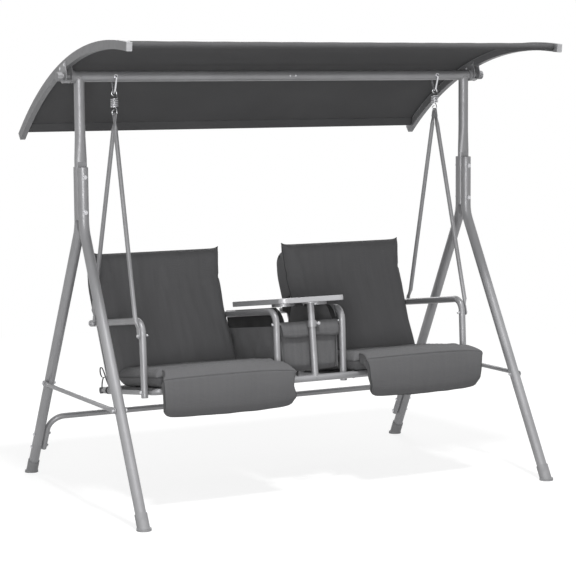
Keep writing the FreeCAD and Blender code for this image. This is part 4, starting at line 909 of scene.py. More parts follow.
# %% [markdown]
# ## The line of the back
# The back frame leans back, bends at a kink and stands upright above it, and its pad, pocket and
# sling all follow that line. A Curve modifier could bend each of them, but a function that turns a
# length along the back into a point and a direction serves all three at their own distance from the
# tubes.

# %% The line of the back
BACK_FOOT_Y = 0.148
BACK_LEAN = math.radians(19.0)
BACK_UPPER_LEAN = 0.0
BACK_KINK = 0.388
BACK_KINK_BEND = 0.120


def back_line(offset, kink_bend):
    """A function from a length along the back to its point and forward direction, offset forward.

    Also gives the length at the middle of the kink, and a function from a height above it to a length.
    """
    radius = kink_bend - offset
    turn = BACK_LEAN - BACK_UPPER_LEAN
    straight = BACK_KINK / math.cos(BACK_LEAN) - kink_bend * math.tan(turn / 2)
    bend = radius * turn

    def up(lean):
        return np.array((math.sin(lean), math.cos(lean)))

    def forward(lean):
        return np.array((-math.cos(lean), math.sin(lean)))

    foot = np.array((BACK_FOOT_Y, 0.0)) + forward(BACK_LEAN) * offset
    centre = foot + up(BACK_LEAN) * straight + forward(BACK_LEAN) * radius
    top = centre - forward(BACK_UPPER_LEAN) * radius

    def at(run):
        if run < straight:
            return foot + up(BACK_LEAN) * run, forward(BACK_LEAN)
        if run < straight + bend:
            lean = BACK_LEAN - (run - straight) / radius
            return centre - forward(lean) * radius, forward(lean)
        return top + up(BACK_UPPER_LEAN) * (run - straight - bend), forward(BACK_UPPER_LEAN)

    def run_at(height):
        return straight + bend + (height - top[1]) / math.cos(BACK_UPPER_LEAN)

    return at, straight + bend / 2, run_at


print("back: kink at", round(back_line(0.0, BACK_KINK_BEND)[1], 3), "m along the tubes")

# %% [markdown]
# ## Back cushions: creases, lumps and a ridge
# Where the back pad turns upright, its sides show a few short creases. Its filling is lumpy, and a
# soft ridge runs down inside its left edge. Sculpting would draw all that by hand. Here each is a
# term that is added to the height of the front panel, so it can be changed without touching the
# rest.

# %% Back cushions: creases, lumps and a ridge
KINK_FOLDS = ((0.0, 0.0055, 0.10), (0.024, 0.0030, 0.30), (-0.026, 0.0032, -0.28))
FOLD_WIDTH = 0.0065
FOLD_REACH = 0.060
BACK_LUMPS = ({"depth": 0.0032, "across": 1.0, "along": 1.0, "seed": 8.7, "size": 0.11},
              {"depth": 0.0018, "across": 1.6, "along": 0.5, "seed": 1.9, "size": 0.06})
RIDGE = {"depth": 0.0060, "inset": 0.033, "slope": 0.10, "width": 0.007, "fades": (0.12, 0.02)}


def back_relief(side, share, run, from_side, kink, end):
    """How far creases, lumps and the ridge take the front panel off its smooth shape."""
    relief = 0.0
    for lump in BACK_LUMPS:
        place = share * lump["across"], run * lump["along"]
        relief += lump["depth"] * unevenness(*place, lump["seed"] + side, lump["size"])
    if share < 0:
        path = RIDGE["inset"] + RIDGE["slope"] * (end - run)
        fade = within(run, kink - RIDGE["fades"][0], kink - RIDGE["fades"][1])
        relief += RIDGE["depth"] * crease(from_side - path, RIDGE["width"]) * fade
    for shift, depth, slope in KINK_FOLDS:
        across_fold = run - kink - shift - slope * from_side
        relief -= depth * crease(across_fold, FOLD_WIDTH) * crease(from_side, FOLD_REACH)
    return relief


print("creases to a side:", len(KINK_FOLDS), "up to", max(fold[1] for fold in KINK_FOLDS), "m deep")

# %% [markdown]
# ## Back cushions
# The back pad leans with the frame and turns upright near its top, so its stations follow the line
# of the back. It is narrower at its waist and at the bend, the inner armrest presses into its side,
# and its two upper corners stand out as small ears. A lattice could deform a plain pillow that way,
# but these few terms of the width say what each one does.

# %% Back cushions
PAD_KINK_BEND = 0.420
ARM_HEIGHT = 0.253
BACK_PAD = {"start": 0.034, "top": 0.511, "thick": 0.079, "edge": 0.033, "end": 0.036,
            "half": 0.2525, "shift": 0.0040, "waist": 0.003, "pinch": 0.004, "squeeze": 0.006,
            "ears": 0.006, "ear_lift": 0.008, "crown": 0.06, "flare": 0.012, "fill": 0.8}
PINCH_WIDTH = 0.014
SQUEEZE_REACH = 0.060
FLARE_FADES = (0.24, 0.08)


def back_width(side, share, half, run, kink, squeeze):
    """Distance from the pad's middle. The right pad flares, and the inner armrest squeezes both."""
    x = share * half
    if side > 0 and share > 0:
        x += BACK_PAD["flare"] * share * within(run, kink - FLARE_FADES[0], kink - FLARE_FADES[1])
    if share * side < 0:
        x += side * squeeze * share**4
    return x


def back_pad_rows(side):
    """Stations of a back pad from its foot to its top."""
    facts = BACK_PAD
    middle = pad_middle(side) + facts["shift"]
    wide = facts["half"]
    thick = facts["thick"] / 2
    at, kink, run_at = back_line(PAD_BASE, PAD_KINK_BEND)
    end = run_at(facts["top"])
    length = end - facts["start"]
    across = edge_spaced(2 * wide, facts["edge"])
    spots = []
    for distance in edge_spaced(length, facts["end"]):
        run = facts["start"] + distance
        point, forward = at(run)
        up = np.array((forward[1], -forward[0]))
        upper = (distance / length) ** 14
        from_end = min(distance, length - distance)
        half = wide - facts["waist"] * (1 - (2 * distance / length - 1) ** 2) + facts["ears"] * upper
        half -= facts["pinch"] * crease(run - kink, PINCH_WIDTH)
        squeeze = facts["squeeze"] * crease(point[1] - ARM_HEIGHT, SQUEEZE_REACH)
        front, back = [], []
        for d in across:
            share = d / wide - 1
            from_side = min(d, 2 * wide - d)
            full = rise(from_side, facts["edge"]) * rise(from_end, facts["end"])
            relief = back_relief(side, share, run, from_side, kink, end)
            crown = 1 - facts["crown"] * share**2
            seam = point + forward * thick + up * (facts["ear_lift"] * upper * (abs(share) ** 24 - 0.2))
            x = middle + back_width(side, share, half, run, kink, squeeze)
            front.append(seat_point(x, *(seam + forward * (thick * full * crown + relief * full))))
            back.append(seat_point(x, *(seam - forward * (thick * full))))
        spots.append((front, back))
    return spots, len(across)


for name, side in SIDES.items():
    make_pad(name + "_back_cushion", *back_pad_rows(side), BACK_PAD["fill"])
print("back cushions: two,", BACK_PAD["thick"], "m thick")

# %% [markdown]
# ## Pockets: the outline
# A cloth pocket on the rear of each back pad slips over the top of the back frame and keeps the pad
# in place. It could be a shrink-wrapped shell, which would cling to every tube. Sewn cloth spans
# them instead, so its outline goes round one tube, straight across the back and round the other.

# %% Pockets: the outline
POCKET_WALL = 0.0015
POCKET_CORNER = 0.010
POCKET_TURN_STEPS = 6
POCKET_SIDE_STEPS = 12
POCKET_ACROSS_STEPS = 31
PAD_SEAM = PAD_BASE + BACK_PAD["thick"] / 2


def pocket_section():
    """Outline round the frame, as a distance from its middle and an offset forward of the tubes."""
    half = (OUTER_RAIL - INNER_RAIL) / 2 + SEAT_TUBE / 2 + POCKET_WALL
    rear = -SEAT_TUBE / 2 - POCKET_WALL
    offsets = np.linspace(PAD_SEAM, rear + POCKET_CORNER, POCKET_SIDE_STEPS)
    side = [(-half, offset) for offset in offsets]
    for i in range(1, POCKET_TURN_STEPS + 1):
        a = 0.5 * math.pi * i / POCKET_TURN_STEPS
        side.append((-half + POCKET_CORNER * (1 - math.cos(a)),
                     rear + POCKET_CORNER * (1 - math.sin(a))))
    flat = half - POCKET_CORNER
    across = [(x, rear) for x in np.linspace(-flat, flat, POCKET_ACROSS_STEPS)[1:-1]]
    return side + across + [(-x, offset) for x, offset in reversed(side)]


print("pocket outline:", len(pocket_section()), "points")

# %% [markdown]
# ## Pockets
# The outline is carried up along the back, row by row. Its sides are drawn out to the pad's seam,
# and near the top the rows close towards that seam, where the pocket is sewn on. Two panels joined
# at the top would be nearer to the sewing, but one sheet can't gape at its corners.

# %% Pockets
POCKET_FOOT = 0.292
POCKET_CLOSE = 0.034
POCKET_ROWS = 24
POCKET_CLOSE_STEPS = 9
POCKET_THICK = 0.0012
POCKET_SAG = 0.0016
POCKET_SEAM_INSET = 0.004
POCKET_TOP_GAP = 0.002
BACK_TOP = 0.478
BACK_BEND = 0.055


def pocket_row(side, run, at, run_at, end, outline):
    """One row of a pocket round the frame, at a length along the back."""
    half = -outline[0][0]
    middle = side * (OUTER_RAIL + INNER_RAIL) / 2
    shift = pad_middle(side) + BACK_PAD["shift"] - middle
    point, forward = at(run)
    open_share = rise(end - run, POCKET_CLOSE)
    up_bend = BACK_BEND - max(0.0, min(BACK_BEND, run_at(BACK_TOP) + SEAT_TUBE / 2 - run))
    inset = BACK_BEND - math.sqrt(BACK_BEND**2 - 0.9 * up_bend**2)
    row = []
    for x, offset in outline:
        sewn = within(offset, 0, PAD_SEAM) if abs(x) > half - POCKET_CORNER else 0.0
        seam_x = shift + math.copysign(BACK_PAD["half"] - POCKET_SEAM_INSET, x)
        x = x * (1 - inset / half) * (1 - sewn) + seam_x * sewn
        sag = -POCKET_SAG * (1 + math.sin(9 * x + 14 * run)) * within(offset, 0, -POCKET_CORNER)
        spot = point + forward * (PAD_SEAM + (offset + sag - PAD_SEAM) * open_share)
        row.append(seat_point(middle + x, *spot))
    return row


def make_pockets():
    at, _, run_at = back_line(0.0, BACK_KINK_BEND)
    outline = pocket_section()
    start, end = POCKET_FOOT / math.cos(BACK_LEAN), run_at(BACK_PAD["top"] - POCKET_TOP_GAP)
    stops = list(np.linspace(start, end - POCKET_CLOSE, POCKET_ROWS))
    for i in range(1, POCKET_CLOSE_STEPS + 1):
        stops.append(end - POCKET_CLOSE * (1 - math.sin(0.5 * math.pi * i / POCKET_CLOSE_STEPS)))
    faces = grid_faces(len(stops), len(outline))
    for name, side in SIDES.items():
        points = [point for run in stops for point in pocket_row(side, run, at, run_at, end, outline)]
        pocket = make_sheet(name + "_back_pocket", points, faces, CUSHION_CLOTH, POCKET_THICK, "seat",
                            "cushion_fabric")
        flat = flat_size(points, len(stops), len(outline))
    return flat


print("pockets, flat:", [round(v, 3) for v in make_pockets()])

# %% [markdown]
# ## Front bolsters: the profile
# The bolster is a padded flap: it starts at the front of the seat pad, slopes over the front rail
# and hangs down before it. Bending a straight pad with a modifier would stretch its seams. So its
# section is drawn first, as the corners of an outer and an inner line, and a Catmull-Rom curve goes
# smoothly through all of them.

# %% Front bolsters: the profile
FLAP_OUTSIDE = [(-0.2825, 0.0700), (-0.2985, 0.0835), (-0.3360, 0.0745), (-0.3655, 0.0595),
                (-0.3775, 0.0480), (-0.3805, 0.0330), (-0.3785, -0.0150), (-0.3670, -0.0640),
                (-0.3500, -0.0940)]
FLAP_INSIDE = [(-0.2830, 0.0420), (-0.2985, 0.0380), (-0.3230, 0.0350), (-0.3400, 0.0290),
               (-0.3490, 0.0210), (-0.3535, 0.0120), (-0.3540, -0.0180), (-0.3470, -0.0600),
               (-0.3370, -0.0910)]
FLAP_STEPS = 8


def smooth_line(corners, steps):
    """A smooth open curve through the corners, with the same number of steps between each two."""
    spots = [np.array(corner) for corner in corners]
    spots = [2 * spots[0] - spots[1]] + spots + [2 * spots[-1] - spots[-2]]
    line = []
    for a, b, c, d in zip(spots, spots[1:], spots[2:], spots[3:]):
        for k in range(steps):
            t = k / steps
            line.append(0.5 * (2 * b + (c - a) * t + (2 * a - 5 * b + 4 * c - d) * t**2
                               + (3 * b - a - 3 * c + d) * t**3))
    return line + [spots[-2]]


print("bolster profile:", len(smooth_line(FLAP_OUTSIDE, FLAP_STEPS)), "stations")

# %% [markdown]
# ## Front bolsters: across the width
# Stuffed flaps never hang alike. Each end of the two reaches out by its own amount, the right one
# sits higher, the ends droop and the foot curves up at its corners. A sculptor would pull these
# about by hand. Here one function places every point from its share of the width and its mark along
# the profile, and what it adds is eased from mark to mark, so that cover and seams stay together.

# %% Front bolsters: across the width
FLAP_MARKS = (0, 1, 4, 6, 7, 8)
FLAP_REACH = {("left", -1): (0.222, 0.228, 0.2600, 0.2590, 0.2570, 0.2540),
              ("left", 1): (0.244, 0.246, 0.2580, 0.2440, 0.2570, 0.2560),
              ("right", -1): (0.222, 0.228, 0.2440, 0.2330, 0.2230, 0.2200),
              ("right", 1): (0.246, 0.250, 0.2600, 0.2520, 0.2500, 0.2470)}
FLAP_LIFT = {"left": (0, 0, 0, 0, 0, 0), "right": (0.002, 0.003, 0.013, 0.010, 0.008, 0.006)}
END_DROP = (0.008, 0.004)
FOOT_CURVE = 0.008
FOOT_CORNER = 0.019
FOOT_WAVE = 0.0020
FRONT_WAVE = 0.0034


def eased(mark, marks, values):
    """A value between those at two marks, without a kink at either."""
    for low, high, a, b in zip(marks, marks[1:], values, values[1:]):
        if mark <= high:
            return a + (b - a) * (1 - math.cos(math.pi * (mark - low) / (high - low))) / 2
    return values[-1]


def flap_point(name, share, spot, mark, ripple):
    """Places a point of the flap across the width. mark counts along the profile's corners."""
    side = SIDES[name]
    y, z = spot
    reach = eased(mark, FLAP_MARKS, FLAP_REACH[name, 1 if share > 0 else -1])
    upper = within(mark, 6, 4)
    lower = within(mark, 5, 8)
    z += eased(mark, FLAP_MARKS, FLAP_LIFT[name])
    z -= (END_DROP[0] + END_DROP[1] * share) * abs(share) ** 3 * upper
    z += FOOT_CURVE * share**2 * lower + FOOT_CORNER * abs(share) ** 30 * lower**3
    z += FOOT_WAVE * unevenness(share, 0.3, 5.5 + side, 0.22) * lower
    y -= ripple * FRONT_WAVE * unevenness(share, z, 2.3 + side, 0.24)
    return seat_point(pad_middle(side) + share * reach, y, z)


print("right bolster: lifted by up to", max(FLAP_LIFT["right"]), "m")

# %% [markdown]
# ## Front bolsters
# The flap is stuffed as the cushions are, so the pillow tool fills the space between the two lines,
# with seams along the ends and the lower edge. A bevelled box would be too sharp, and a plain
# pillow too round: the ends are kept boxed, at a share of the full depth. Where the top panel meets
# the front one, the sewing draws a fine groove, and a near-black cord laid in it is painted shade
# that deepens the groove.

# %% Front bolsters
FLAP_HALF = 0.258
FLAP_EDGE = 0.011
FLAP_BOX = 0.74
FLAP_ENDS = (0.010, 0.014)
FLAP_OPEN = (0.001, 0.0005)
FLAP_FILL = 0.9
FLAP_SEAM = 4
SEAM_GROOVE = 0.0060
SEAM_SHADE_RADIUS = 0.0019
FLAP_PUCKER = {"depth": 0.0018, "waves": 60, "reach": 0.024}


def flap_rows(name):
    """Stations of a bolster from the seat pad, over its front seam and down to its foot."""
    outside = smooth_line(FLAP_OUTSIDE, FLAP_STEPS)
    inside = smooth_line(FLAP_INSIDE, FLAP_STEPS)
    across = edge_spaced(2 * FLAP_HALF, FLAP_EDGE)
    run = [0.0]
    for a, b in zip(outside, outside[1:]):
        run.append(run[-1] + float(np.linalg.norm(b - a)))
    spots = []
    for i, (out, inn) in enumerate(zip(outside, inside)):
        closing = rise(run[i] + FLAP_OPEN[0], FLAP_ENDS[0])
        closing *= rise(run[-1] - run[i] + FLAP_OPEN[1], FLAP_ENDS[1])
        middle, depth = (out + inn) / 2, (out - inn) / 2
        length = float(np.linalg.norm(depth))
        mark = i / FLAP_STEPS
        groove = SEAM_GROOVE * crease(i - FLAP_SEAM * FLAP_STEPS, 1.2)
        front, back = [], []
        for d in across:
            share = d / FLAP_HALF - 1
            full = (FLAP_BOX + (1 - FLAP_BOX) * rise(min(d, 2 * FLAP_HALF - d), FLAP_EDGE)) * closing
            pucker = FLAP_PUCKER["depth"] * math.sin(share * FLAP_PUCKER["waves"] + SIDES[name])
            relief = 1 + (pucker * crease(run[i], FLAP_PUCKER["reach"]) - groove) / length
            front.append(flap_point(name, share, middle + depth * full * relief, mark, full))
            back.append(flap_point(name, share, middle - depth * full, mark, full))
        spots.append((front, back))
    return spots, len(across)


def make_bolsters():
    for name in SIDES:
        spots, columns = flap_rows(name)
        node = name + "_front_bolster"
        make_pad(node, spots, columns, FLAP_FILL)
        # A near-black cord along the groove: painted shade of the seam.
        seam_shade_line = tube(spots[FLAP_SEAM * FLAP_STEPS][0], SEAM_SHADE_RADIUS, WELT_SIDES)
        make_piece(node + "_seam", *seam_shade_line, THREAD_AND_SEAM_SHADE, "seat", "cushion_fabric")


make_bolsters()
print("bolsters: two, each", 2 * FLAP_HALF, "m wide")

# %% [markdown]
# ## Slings
# Under each cushion a dark open-weave sling is stretched between the tubes, with its side edges
# lapped over them. Its holes could be modelled or cut out by a texture, but the cushions hide all
# but its rims. So each sling is a closed grid that lies on the tubes' crown, sinks a little between
# them and turns down over them at its sides.

# %% Slings
SLING_THICK = 0.0012
SLING_SAG = 0.004
SLING_LAP = math.radians(62)
SLING_LAP_STEPS = 6
SLING_STEPS = 40
SLING_REACH = SEAT_TUBE / 2 + SLING_THICK / 2
SEAT_SLING = (-0.252, 0.122)
SEAT_SLING_ROWS = 30
BACK_SLING = (0.076, 0.470)
BACK_SLING_ROWS = 44


def across_seat(side):
    """Places across one seat from the inner tube to the outer, as x and drop below the crown."""
    inner, outer = side * INNER_RAIL, side * OUTER_RAIL

    def lap(rail, way, i):
        turn = SLING_LAP * i / SLING_LAP_STEPS
        return rail + way * side * SLING_REACH * math.sin(turn), SLING_REACH * (1 - math.cos(turn))

    spots = [lap(inner, -1, i) for i in range(SLING_LAP_STEPS, 0, -1)]
    for i in range(SLING_STEPS + 1):
        share = i / SLING_STEPS
        spots.append((inner + (outer - inner) * share, SLING_SAG * (1 - (2 * share - 1) ** 2)))
    return spots + [lap(outer, 1, i) for i in range(1, SLING_LAP_STEPS + 1)]


def make_sling(name, node, rows, spots, place):
    points = [place(row, x, drop) for row in rows for x, drop in spots]
    faces = grid_faces(len(rows), len(spots))
    sling = make_sheet(name, points, faces, SLING_CLOTH, SLING_THICK, "seat", "sling_fabric")
    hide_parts(node)
    width = OUTER_RAIL - INNER_RAIL + 2 * SLING_REACH * SLING_LAP
    return width, rows[-1] - rows[0]


def make_slings():
    at, _, run_at = back_line(0.0, BACK_KINK_BEND)
    seat_rows = list(np.linspace(*SEAT_SLING, SEAT_SLING_ROWS))
    back_rows = list(np.linspace(BACK_SLING[0], run_at(BACK_SLING[1]), BACK_SLING_ROWS))

    def on_seat(row, x, drop):
        return seat_point(x, row, SLING_REACH - drop)

    def on_back(row, x, drop):
        point, forward = at(row)
        return seat_point(x, *(point + forward * (SLING_REACH - drop)))

    flats = []
    for name, side in SIDES.items():
        spots = across_seat(side)
        flats.append(make_sling(name + "_seat_sling", "seat_slings", seat_rows, spots, on_seat))
        flats.append(make_sling(name + "_back_sling", "back_slings", back_rows, spots, on_back))
    return flats


print("slings, flat:", [tuple(round(v, 3) for v in flat) for flat in make_slings()])

# %% [markdown]
# ## Storage bag: the section
# A cloth bag hangs between the seats, under the table. One long strip makes its front, bottom and
# back, with a loose sleeve round the rod at either end. A simulation could hang it from the rods,
# but its folds would cross the tubes beside it. So the strip's section is drawn first, in straight
# runs and round corners, from the rods' own places.

# %% Storage bag: the section
BAG_FLOOR = 0.034
BAG_THICK = 0.0012
BAG_CORNER = 0.022
CORNER_STEPS = 7
BAG_ROD_RADIUS = 0.005
STRIP_LEAVES = (0.0030, -0.016)
STRIP_HANGS = (-0.0015, -0.044)
FLOOR_STARTS = 0.030
REAR_STARTS = 0.030
REAR_SLEEVE = ((0.0080, -0.012), (0.0030, -0.045))
SLEEVE_DROP = 0.050
SLEEVE_CORNERS = ((-0.0040, -SLEEVE_DROP, 2), (-0.0120, -0.052, 2), (-0.0165, -0.044, 4),
                  (-0.0150, -0.024, 4))


def bag_rods():
    """Middles of the front and the rear rod, in the level seat frame."""
    low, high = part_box("bag_rods")
    r = BAG_ROD_RADIUS
    return seat_spot((0, low.y + r, high.z - r)), seat_spot((0, high.y - r, low.z + r))


FRONT_ROD, REAR_ROD = bag_rods()


def line_points(start, end, count):
    return [start + (end - start) * i / count for i in range(count)]


def quarter(centre, first, last):
    """A round corner of the strip."""
    turns = np.linspace(first, last, CORNER_STEPS)
    return [centre + BAG_CORNER * np.array((math.cos(a), math.sin(a))) for a in turns]


def bag_path():
    """The strip from the front sleeve, over the rod, down, along the floor and up the back."""
    front, rear = FRONT_ROD, REAR_ROD
    r = BAG_ROD_RADIUS + BAG_THICK
    turns = [math.radians(a) for a in range(180, -1, -20)]
    sleeve = [front + corner[:2] for corner in SLEEVE_CORNERS] + [front + (-r, 0)]
    path = []
    for corner, start, end in zip(SLEEVE_CORNERS, sleeve, sleeve[1:]):
        path += line_points(start, end, corner[2])
    path += [front + (r * math.cos(a), r * math.sin(a)) for a in turns]
    hangs = front + STRIP_HANGS
    foot = BAG_FLOOR + BAG_CORNER
    path += line_points(front + STRIP_LEAVES, hangs, 3)
    path += line_points(hangs, np.array((hangs[0], foot)), 12)
    path += quarter(np.array((hangs[0] + BAG_CORNER, foot)), math.pi, 1.5 * math.pi)
    path += line_points(np.array((front[0] + FLOOR_STARTS, BAG_FLOOR)),
                        np.array((rear[0] - BAG_CORNER, BAG_FLOOR)), 30)
    path += quarter(np.array((rear[0] - BAG_CORNER, foot)), 1.5 * math.pi, 2 * math.pi)
    path += line_points(np.array((rear[0], BAG_FLOOR + REAR_STARTS)), rear + (-r, -0.004), 12)
    path += [rear + (r * math.cos(a), r * math.sin(a)) for a in turns]
    return path + line_points(rear + REAR_SLEEVE[0], rear + REAR_SLEEVE[1], 4)


print("bag section:", len(bag_path()), "points,", round(path_length(bag_path()), 3), "m long")

# %% [markdown]
# ## Storage bag: the strip
# The strip is that section, drawn out across the bag. An extrusion alone would look like sheet
# metal. So the upright faces turn in towards their seams and ripple a little, the floor sags, and
# the front sleeve hangs lower in places: small departures from the straight, which the eye takes
# for cloth.

# %% Storage bag: the strip
BAG_HALF = 0.1205
BAG_TAPER = 0.009
BAG_COLUMNS = 41
SLEEVE_WAVE = 0.003
STRIP_FOLD = 0.0014
STRIP_INSET = 0.0015
STRIP_LOOSE = (0.040, 0.090)
FLOOR_SAG = 0.006
FLOOR_MARGIN = 0.004


def make_bag_strip():
    front = FRONT_ROD
    path = bag_path()
    in_sleeve = sum(steps for _, _, steps in SLEEVE_CORNERS)
    points = []
    for i, (y, z) in enumerate(path):
        below = within(z, front[1] - STRIP_LOOSE[0], front[1] - STRIP_LOOSE[1])
        half = BAG_HALF - STRIP_INSET - BAG_TAPER * (1 - within(z, BAG_FLOOR, front[1]))
        on_floor = z < BAG_FLOOR + FLOOR_MARGIN
        inward = 0 if on_floor else 1 if y < 0 else -1
        droop = within(z, front[1], front[1] - SLEEVE_DROP) if i < in_sleeve else 0.0
        for j in range(BAG_COLUMNS):
            share = 2 * j / (BAG_COLUMNS - 1) - 1
            turn = (1 - rise(half * (1 - abs(share)), BAG_CORNER)) * BAG_CORNER * below
            fold = STRIP_FOLD * math.sin(9 * share + 30 * z) * below * (1 - abs(share) ** 4)
            sag = -FLOOR_SAG * (1 - share**2) if on_floor else 0.0
            hang = SLEEVE_WAVE * math.sin(5 * share + 0.8) * droop
            points.append(seat_point(share * half, y + inward * (turn + fold), z + sag + hang))
    faces = grid_faces(len(path), BAG_COLUMNS)
    strip = make_sheet("bag_strip", points, faces, BAG_CLOTH, BAG_THICK, "seat", "bag_fabric")
    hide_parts("storage_bag")
    length = path_length(path)
    return length


print("bag strip, flat:", round(2 * BAG_HALF, 3), "by", round(make_bag_strip(), 3), "m")

# %% [markdown]
# ## Storage bag: the sides
# Two panels close the bag, each with a near-black band along its top: painted shade, for the shade
# under the armrest and the table. Slack cloth hangs in shallow diagonal folds, which two crossing
# waves imitate well enough, and the right panel has sagged at the rear, where its band goes on as a
# narrow strap. Painting the band onto the panel would be quicker, but a second sheet gives it an
# edge that catches the light.

# %% Storage bag: the sides
BAG_SIDE_TOP = 0.2672
BAG_SHOULDER = -0.214
BAG_REAR_SHOULDER = 0.130
BAG_BAND = 0.069
BAND_NARROWS = 0.7
BAND_LIFT = 0.0016
SIDE_ROWS = 70
SIDE_COLUMNS = 34
BAND_COLUMNS = 9
SIDE_HOLLOW = 0.004
SIDE_FOLDS = (0.0034, 0.0024)
SIDE_ENDS = (0.001, 0.007)


def side_edges(side, y):
    """Heights of a panel's top and of its band's two edges. The right panel sags at the rear."""
    front, rear = FRONT_ROD, REAR_ROD
    upper = BAG_SIDE_TOP - within(y, BAG_SHOULDER, front[0]) * (BAG_SIDE_TOP - front[1])
    sagged = math.sin(0.5 * math.pi * within(y, BAG_REAR_SHOULDER, rear[0])) if side > 0 else 0.0
    lower = upper - BAG_BAND * (1 - BAND_NARROWS * sagged**0.5)
    return upper - sagged * (BAG_SIDE_TOP - rear[1]), upper, lower


def side_place(side, y, z, outward=0.0):
    front = FRONT_ROD
    height = within(z, BAG_FLOOR, BAG_SIDE_TOP)
    half = BAG_HALF - BAG_TAPER * (1 - height) + outward
    slack = math.sin(math.pi * min(1.0, height * 1.15)) * within(y, front[0], front[0] + 0.05)
    fold = SIDE_FOLDS[0] * math.sin(34 * (y + 0.9 * z) + side)
    fold += SIDE_FOLDS[1] * math.sin(61 * (y - 0.6 * z))
    return seat_point(side * (half - SIDE_HOLLOW * slack + fold * slack), y, z)


def make_bag_sides():
    front, rear = FRONT_ROD, REAR_ROD
    rows = np.linspace(front[0] + SIDE_ENDS[0], rear[0] + SIDE_ENDS[1], SIDE_ROWS)
    depth = rows[-1] - rows[0]
    for name, side in SIDES.items():
        edges = [side_edges(side, y) for y in rows]
        points = [side_place(side, y, BAG_FLOOR + (top - BAG_FLOOR) * j / (SIDE_COLUMNS - 1))
                  for y, (top, _, _) in zip(rows, edges) for j in range(SIDE_COLUMNS)]
        # The panels' lighter weave is painted light.
        panel = make_sheet(name + "_bag_side", points, grid_faces(SIDE_ROWS, SIDE_COLUMNS),
                           BAG_SIDE_PAINTED_LIGHT_CLOTH, BAG_THICK, "seat", "bag_fabric")
        points = [side_place(side, y, upper + (lower - upper) * j / (BAND_COLUMNS - 1), BAND_LIFT)
                  for y, (_, upper, lower) in zip(rows, edges) for j in range(BAND_COLUMNS)]
        # The near-black band is painted shade under the armrest and table.
        band = make_sheet(name + "_bag_band", points, grid_faces(SIDE_ROWS, BAND_COLUMNS),
                          PAINTED_SHADE_BAND_CLOTH, BAG_THICK, "seat", "bag_fabric")
    return depth


print("bag sides: two,", round(make_bag_sides(), 3), "m deep, with a band each")

# %% [markdown]
# ## Storage bag: the corners
# At the front, a near-black corner piece runs from the top of each side in to the rod: painted shade,
# for the shadow under the table's edge. It could be a corner of the side panel, but it lies nearly
# flat while the panel stands upright. As a narrow grid of its own it follows the panel's top edge
# and widens towards the rod.

# %% Storage bag: the corners
CORNER_ROWS = 15
CORNER_COLUMNS = 9
CORNER_START = -0.150
CORNER_REACH = 0.022
CORNER_DIP = 0.004
CORNER_LIFT = 0.008
CORNER_PROUD = 0.001


def make_bag_corners():
    front = FRONT_ROD
    for name, side in SIDES.items():
        points = []
        for i in range(CORNER_ROWS):
            t = i / (CORNER_ROWS - 1)
            y = CORNER_START + (front[0] - CORNER_START) * t
            z = BAG_SIDE_TOP + (front[1] + CORNER_LIFT - BAG_SIDE_TOP) * t**3
            reach = CORNER_REACH * math.sin(0.5 * math.pi * t) ** 0.7
            for j in range(CORNER_COLUMNS):
                s = j / (CORNER_COLUMNS - 1)
                x = side * (BAG_HALF + CORNER_PROUD - reach * s)
                points.append(seat_point(x, y, z - CORNER_DIP * math.sin(math.pi * s)))
        faces = grid_faces(CORNER_ROWS, CORNER_COLUMNS)
        # Near-black: painted shade under the table's edge.
        corner_shade = make_sheet(name + "_bag_corner_shade", points, faces, PAINTED_SHADE_BAND_CLOTH, BAG_THICK, "seat",
                            "bag_fabric")
        flat = flat_size(points, CORNER_ROWS, CORNER_COLUMNS)
    return flat


print("bag corners, flat:", [round(v, 3) for v in make_bag_corners()])

# %% [markdown]
# ## Ribbon ties: the paths
# Ribbons sewn to the back pad's lower corners are tied round the side rails. A simulated ribbon
# would need a real knot, which is hard to start. Each tie is drawn instead along five joined paths:
# a turn round the rail, a neck up to the knot, and from there a loop, a hanging tail and the strand
# to the pad.

# %% Ribbon ties: the paths
RIBBON_CLEAR = 0.0015
TIE_Y = 0.178
KNOT_BACK = 0.030
KNOT_UP = 0.036
NECK = {"out": 0.002, "bow": 0.004}
LOOP = {"out": 0.008, "reach": 0.040, "roll": 0.012}
TAIL = {"out": 0.010, "back": 0.022, "wave": 0.006, "drop": 0.062}
STRAND_FOOT = (0.225, 0.150, 0.060)
STRAND_SAG = 0.012
TURN_STEPS = 24
TIE_STEPS = 20


def tie_paths(x, side):
    """The turn round the rail, the neck, the loop, the tail and the strand to the pad."""
    reach = SEAT_TUBE / 2 + RIBBON_CLEAR
    angles = [2 * math.pi * i / TURN_STEPS for i in range(TURN_STEPS + 1)]
    turn = [seat_point(x + reach * math.cos(a), TIE_Y, reach * math.sin(a)) for a in angles]
    knot = Vector((x, TIE_Y + KNOT_BACK, reach + KNOT_UP))
    out, back, up = STRAND_FOOT
    pad = Vector((pad_middle(side) + math.copysign(out, x - pad_middle(side)), back, up))
    neck, loop, tail, strand = [], [], [], []
    for i in range(TIE_STEPS + 1):
        t = i / TIE_STEPS
        swing = math.sin(math.pi * t)
        neck.append(seat_point(x + side * NECK["out"] * swing, TIE_Y + KNOT_BACK * t,
                               reach + KNOT_UP * t + NECK["bow"] * swing))
        loop.append(seat_point(knot.x + side * LOOP["out"] * swing,
                               knot.y + LOOP["reach"] * swing * (0.5 + 0.5 * t),
                               knot.z + LOOP["roll"] * math.sin(2 * math.pi * t)
                               + LOOP["reach"] * swing * (1 - 0.7 * t)))
        tail.append(seat_point(knot.x + side * (NECK["out"] + TAIL["out"] * t),
                               knot.y + TAIL["back"] * t + TAIL["wave"] * math.sin(4 * t),
                               knot.z + TAIL["wave"] * math.sin(3 * t) - TAIL["drop"] * t**1.5))
        strand.append(seat_point(*(pad + (knot - pad) * t - Vector((0, 0, STRAND_SAG)) * swing)))
    return [turn, neck, loop, tail, strand]


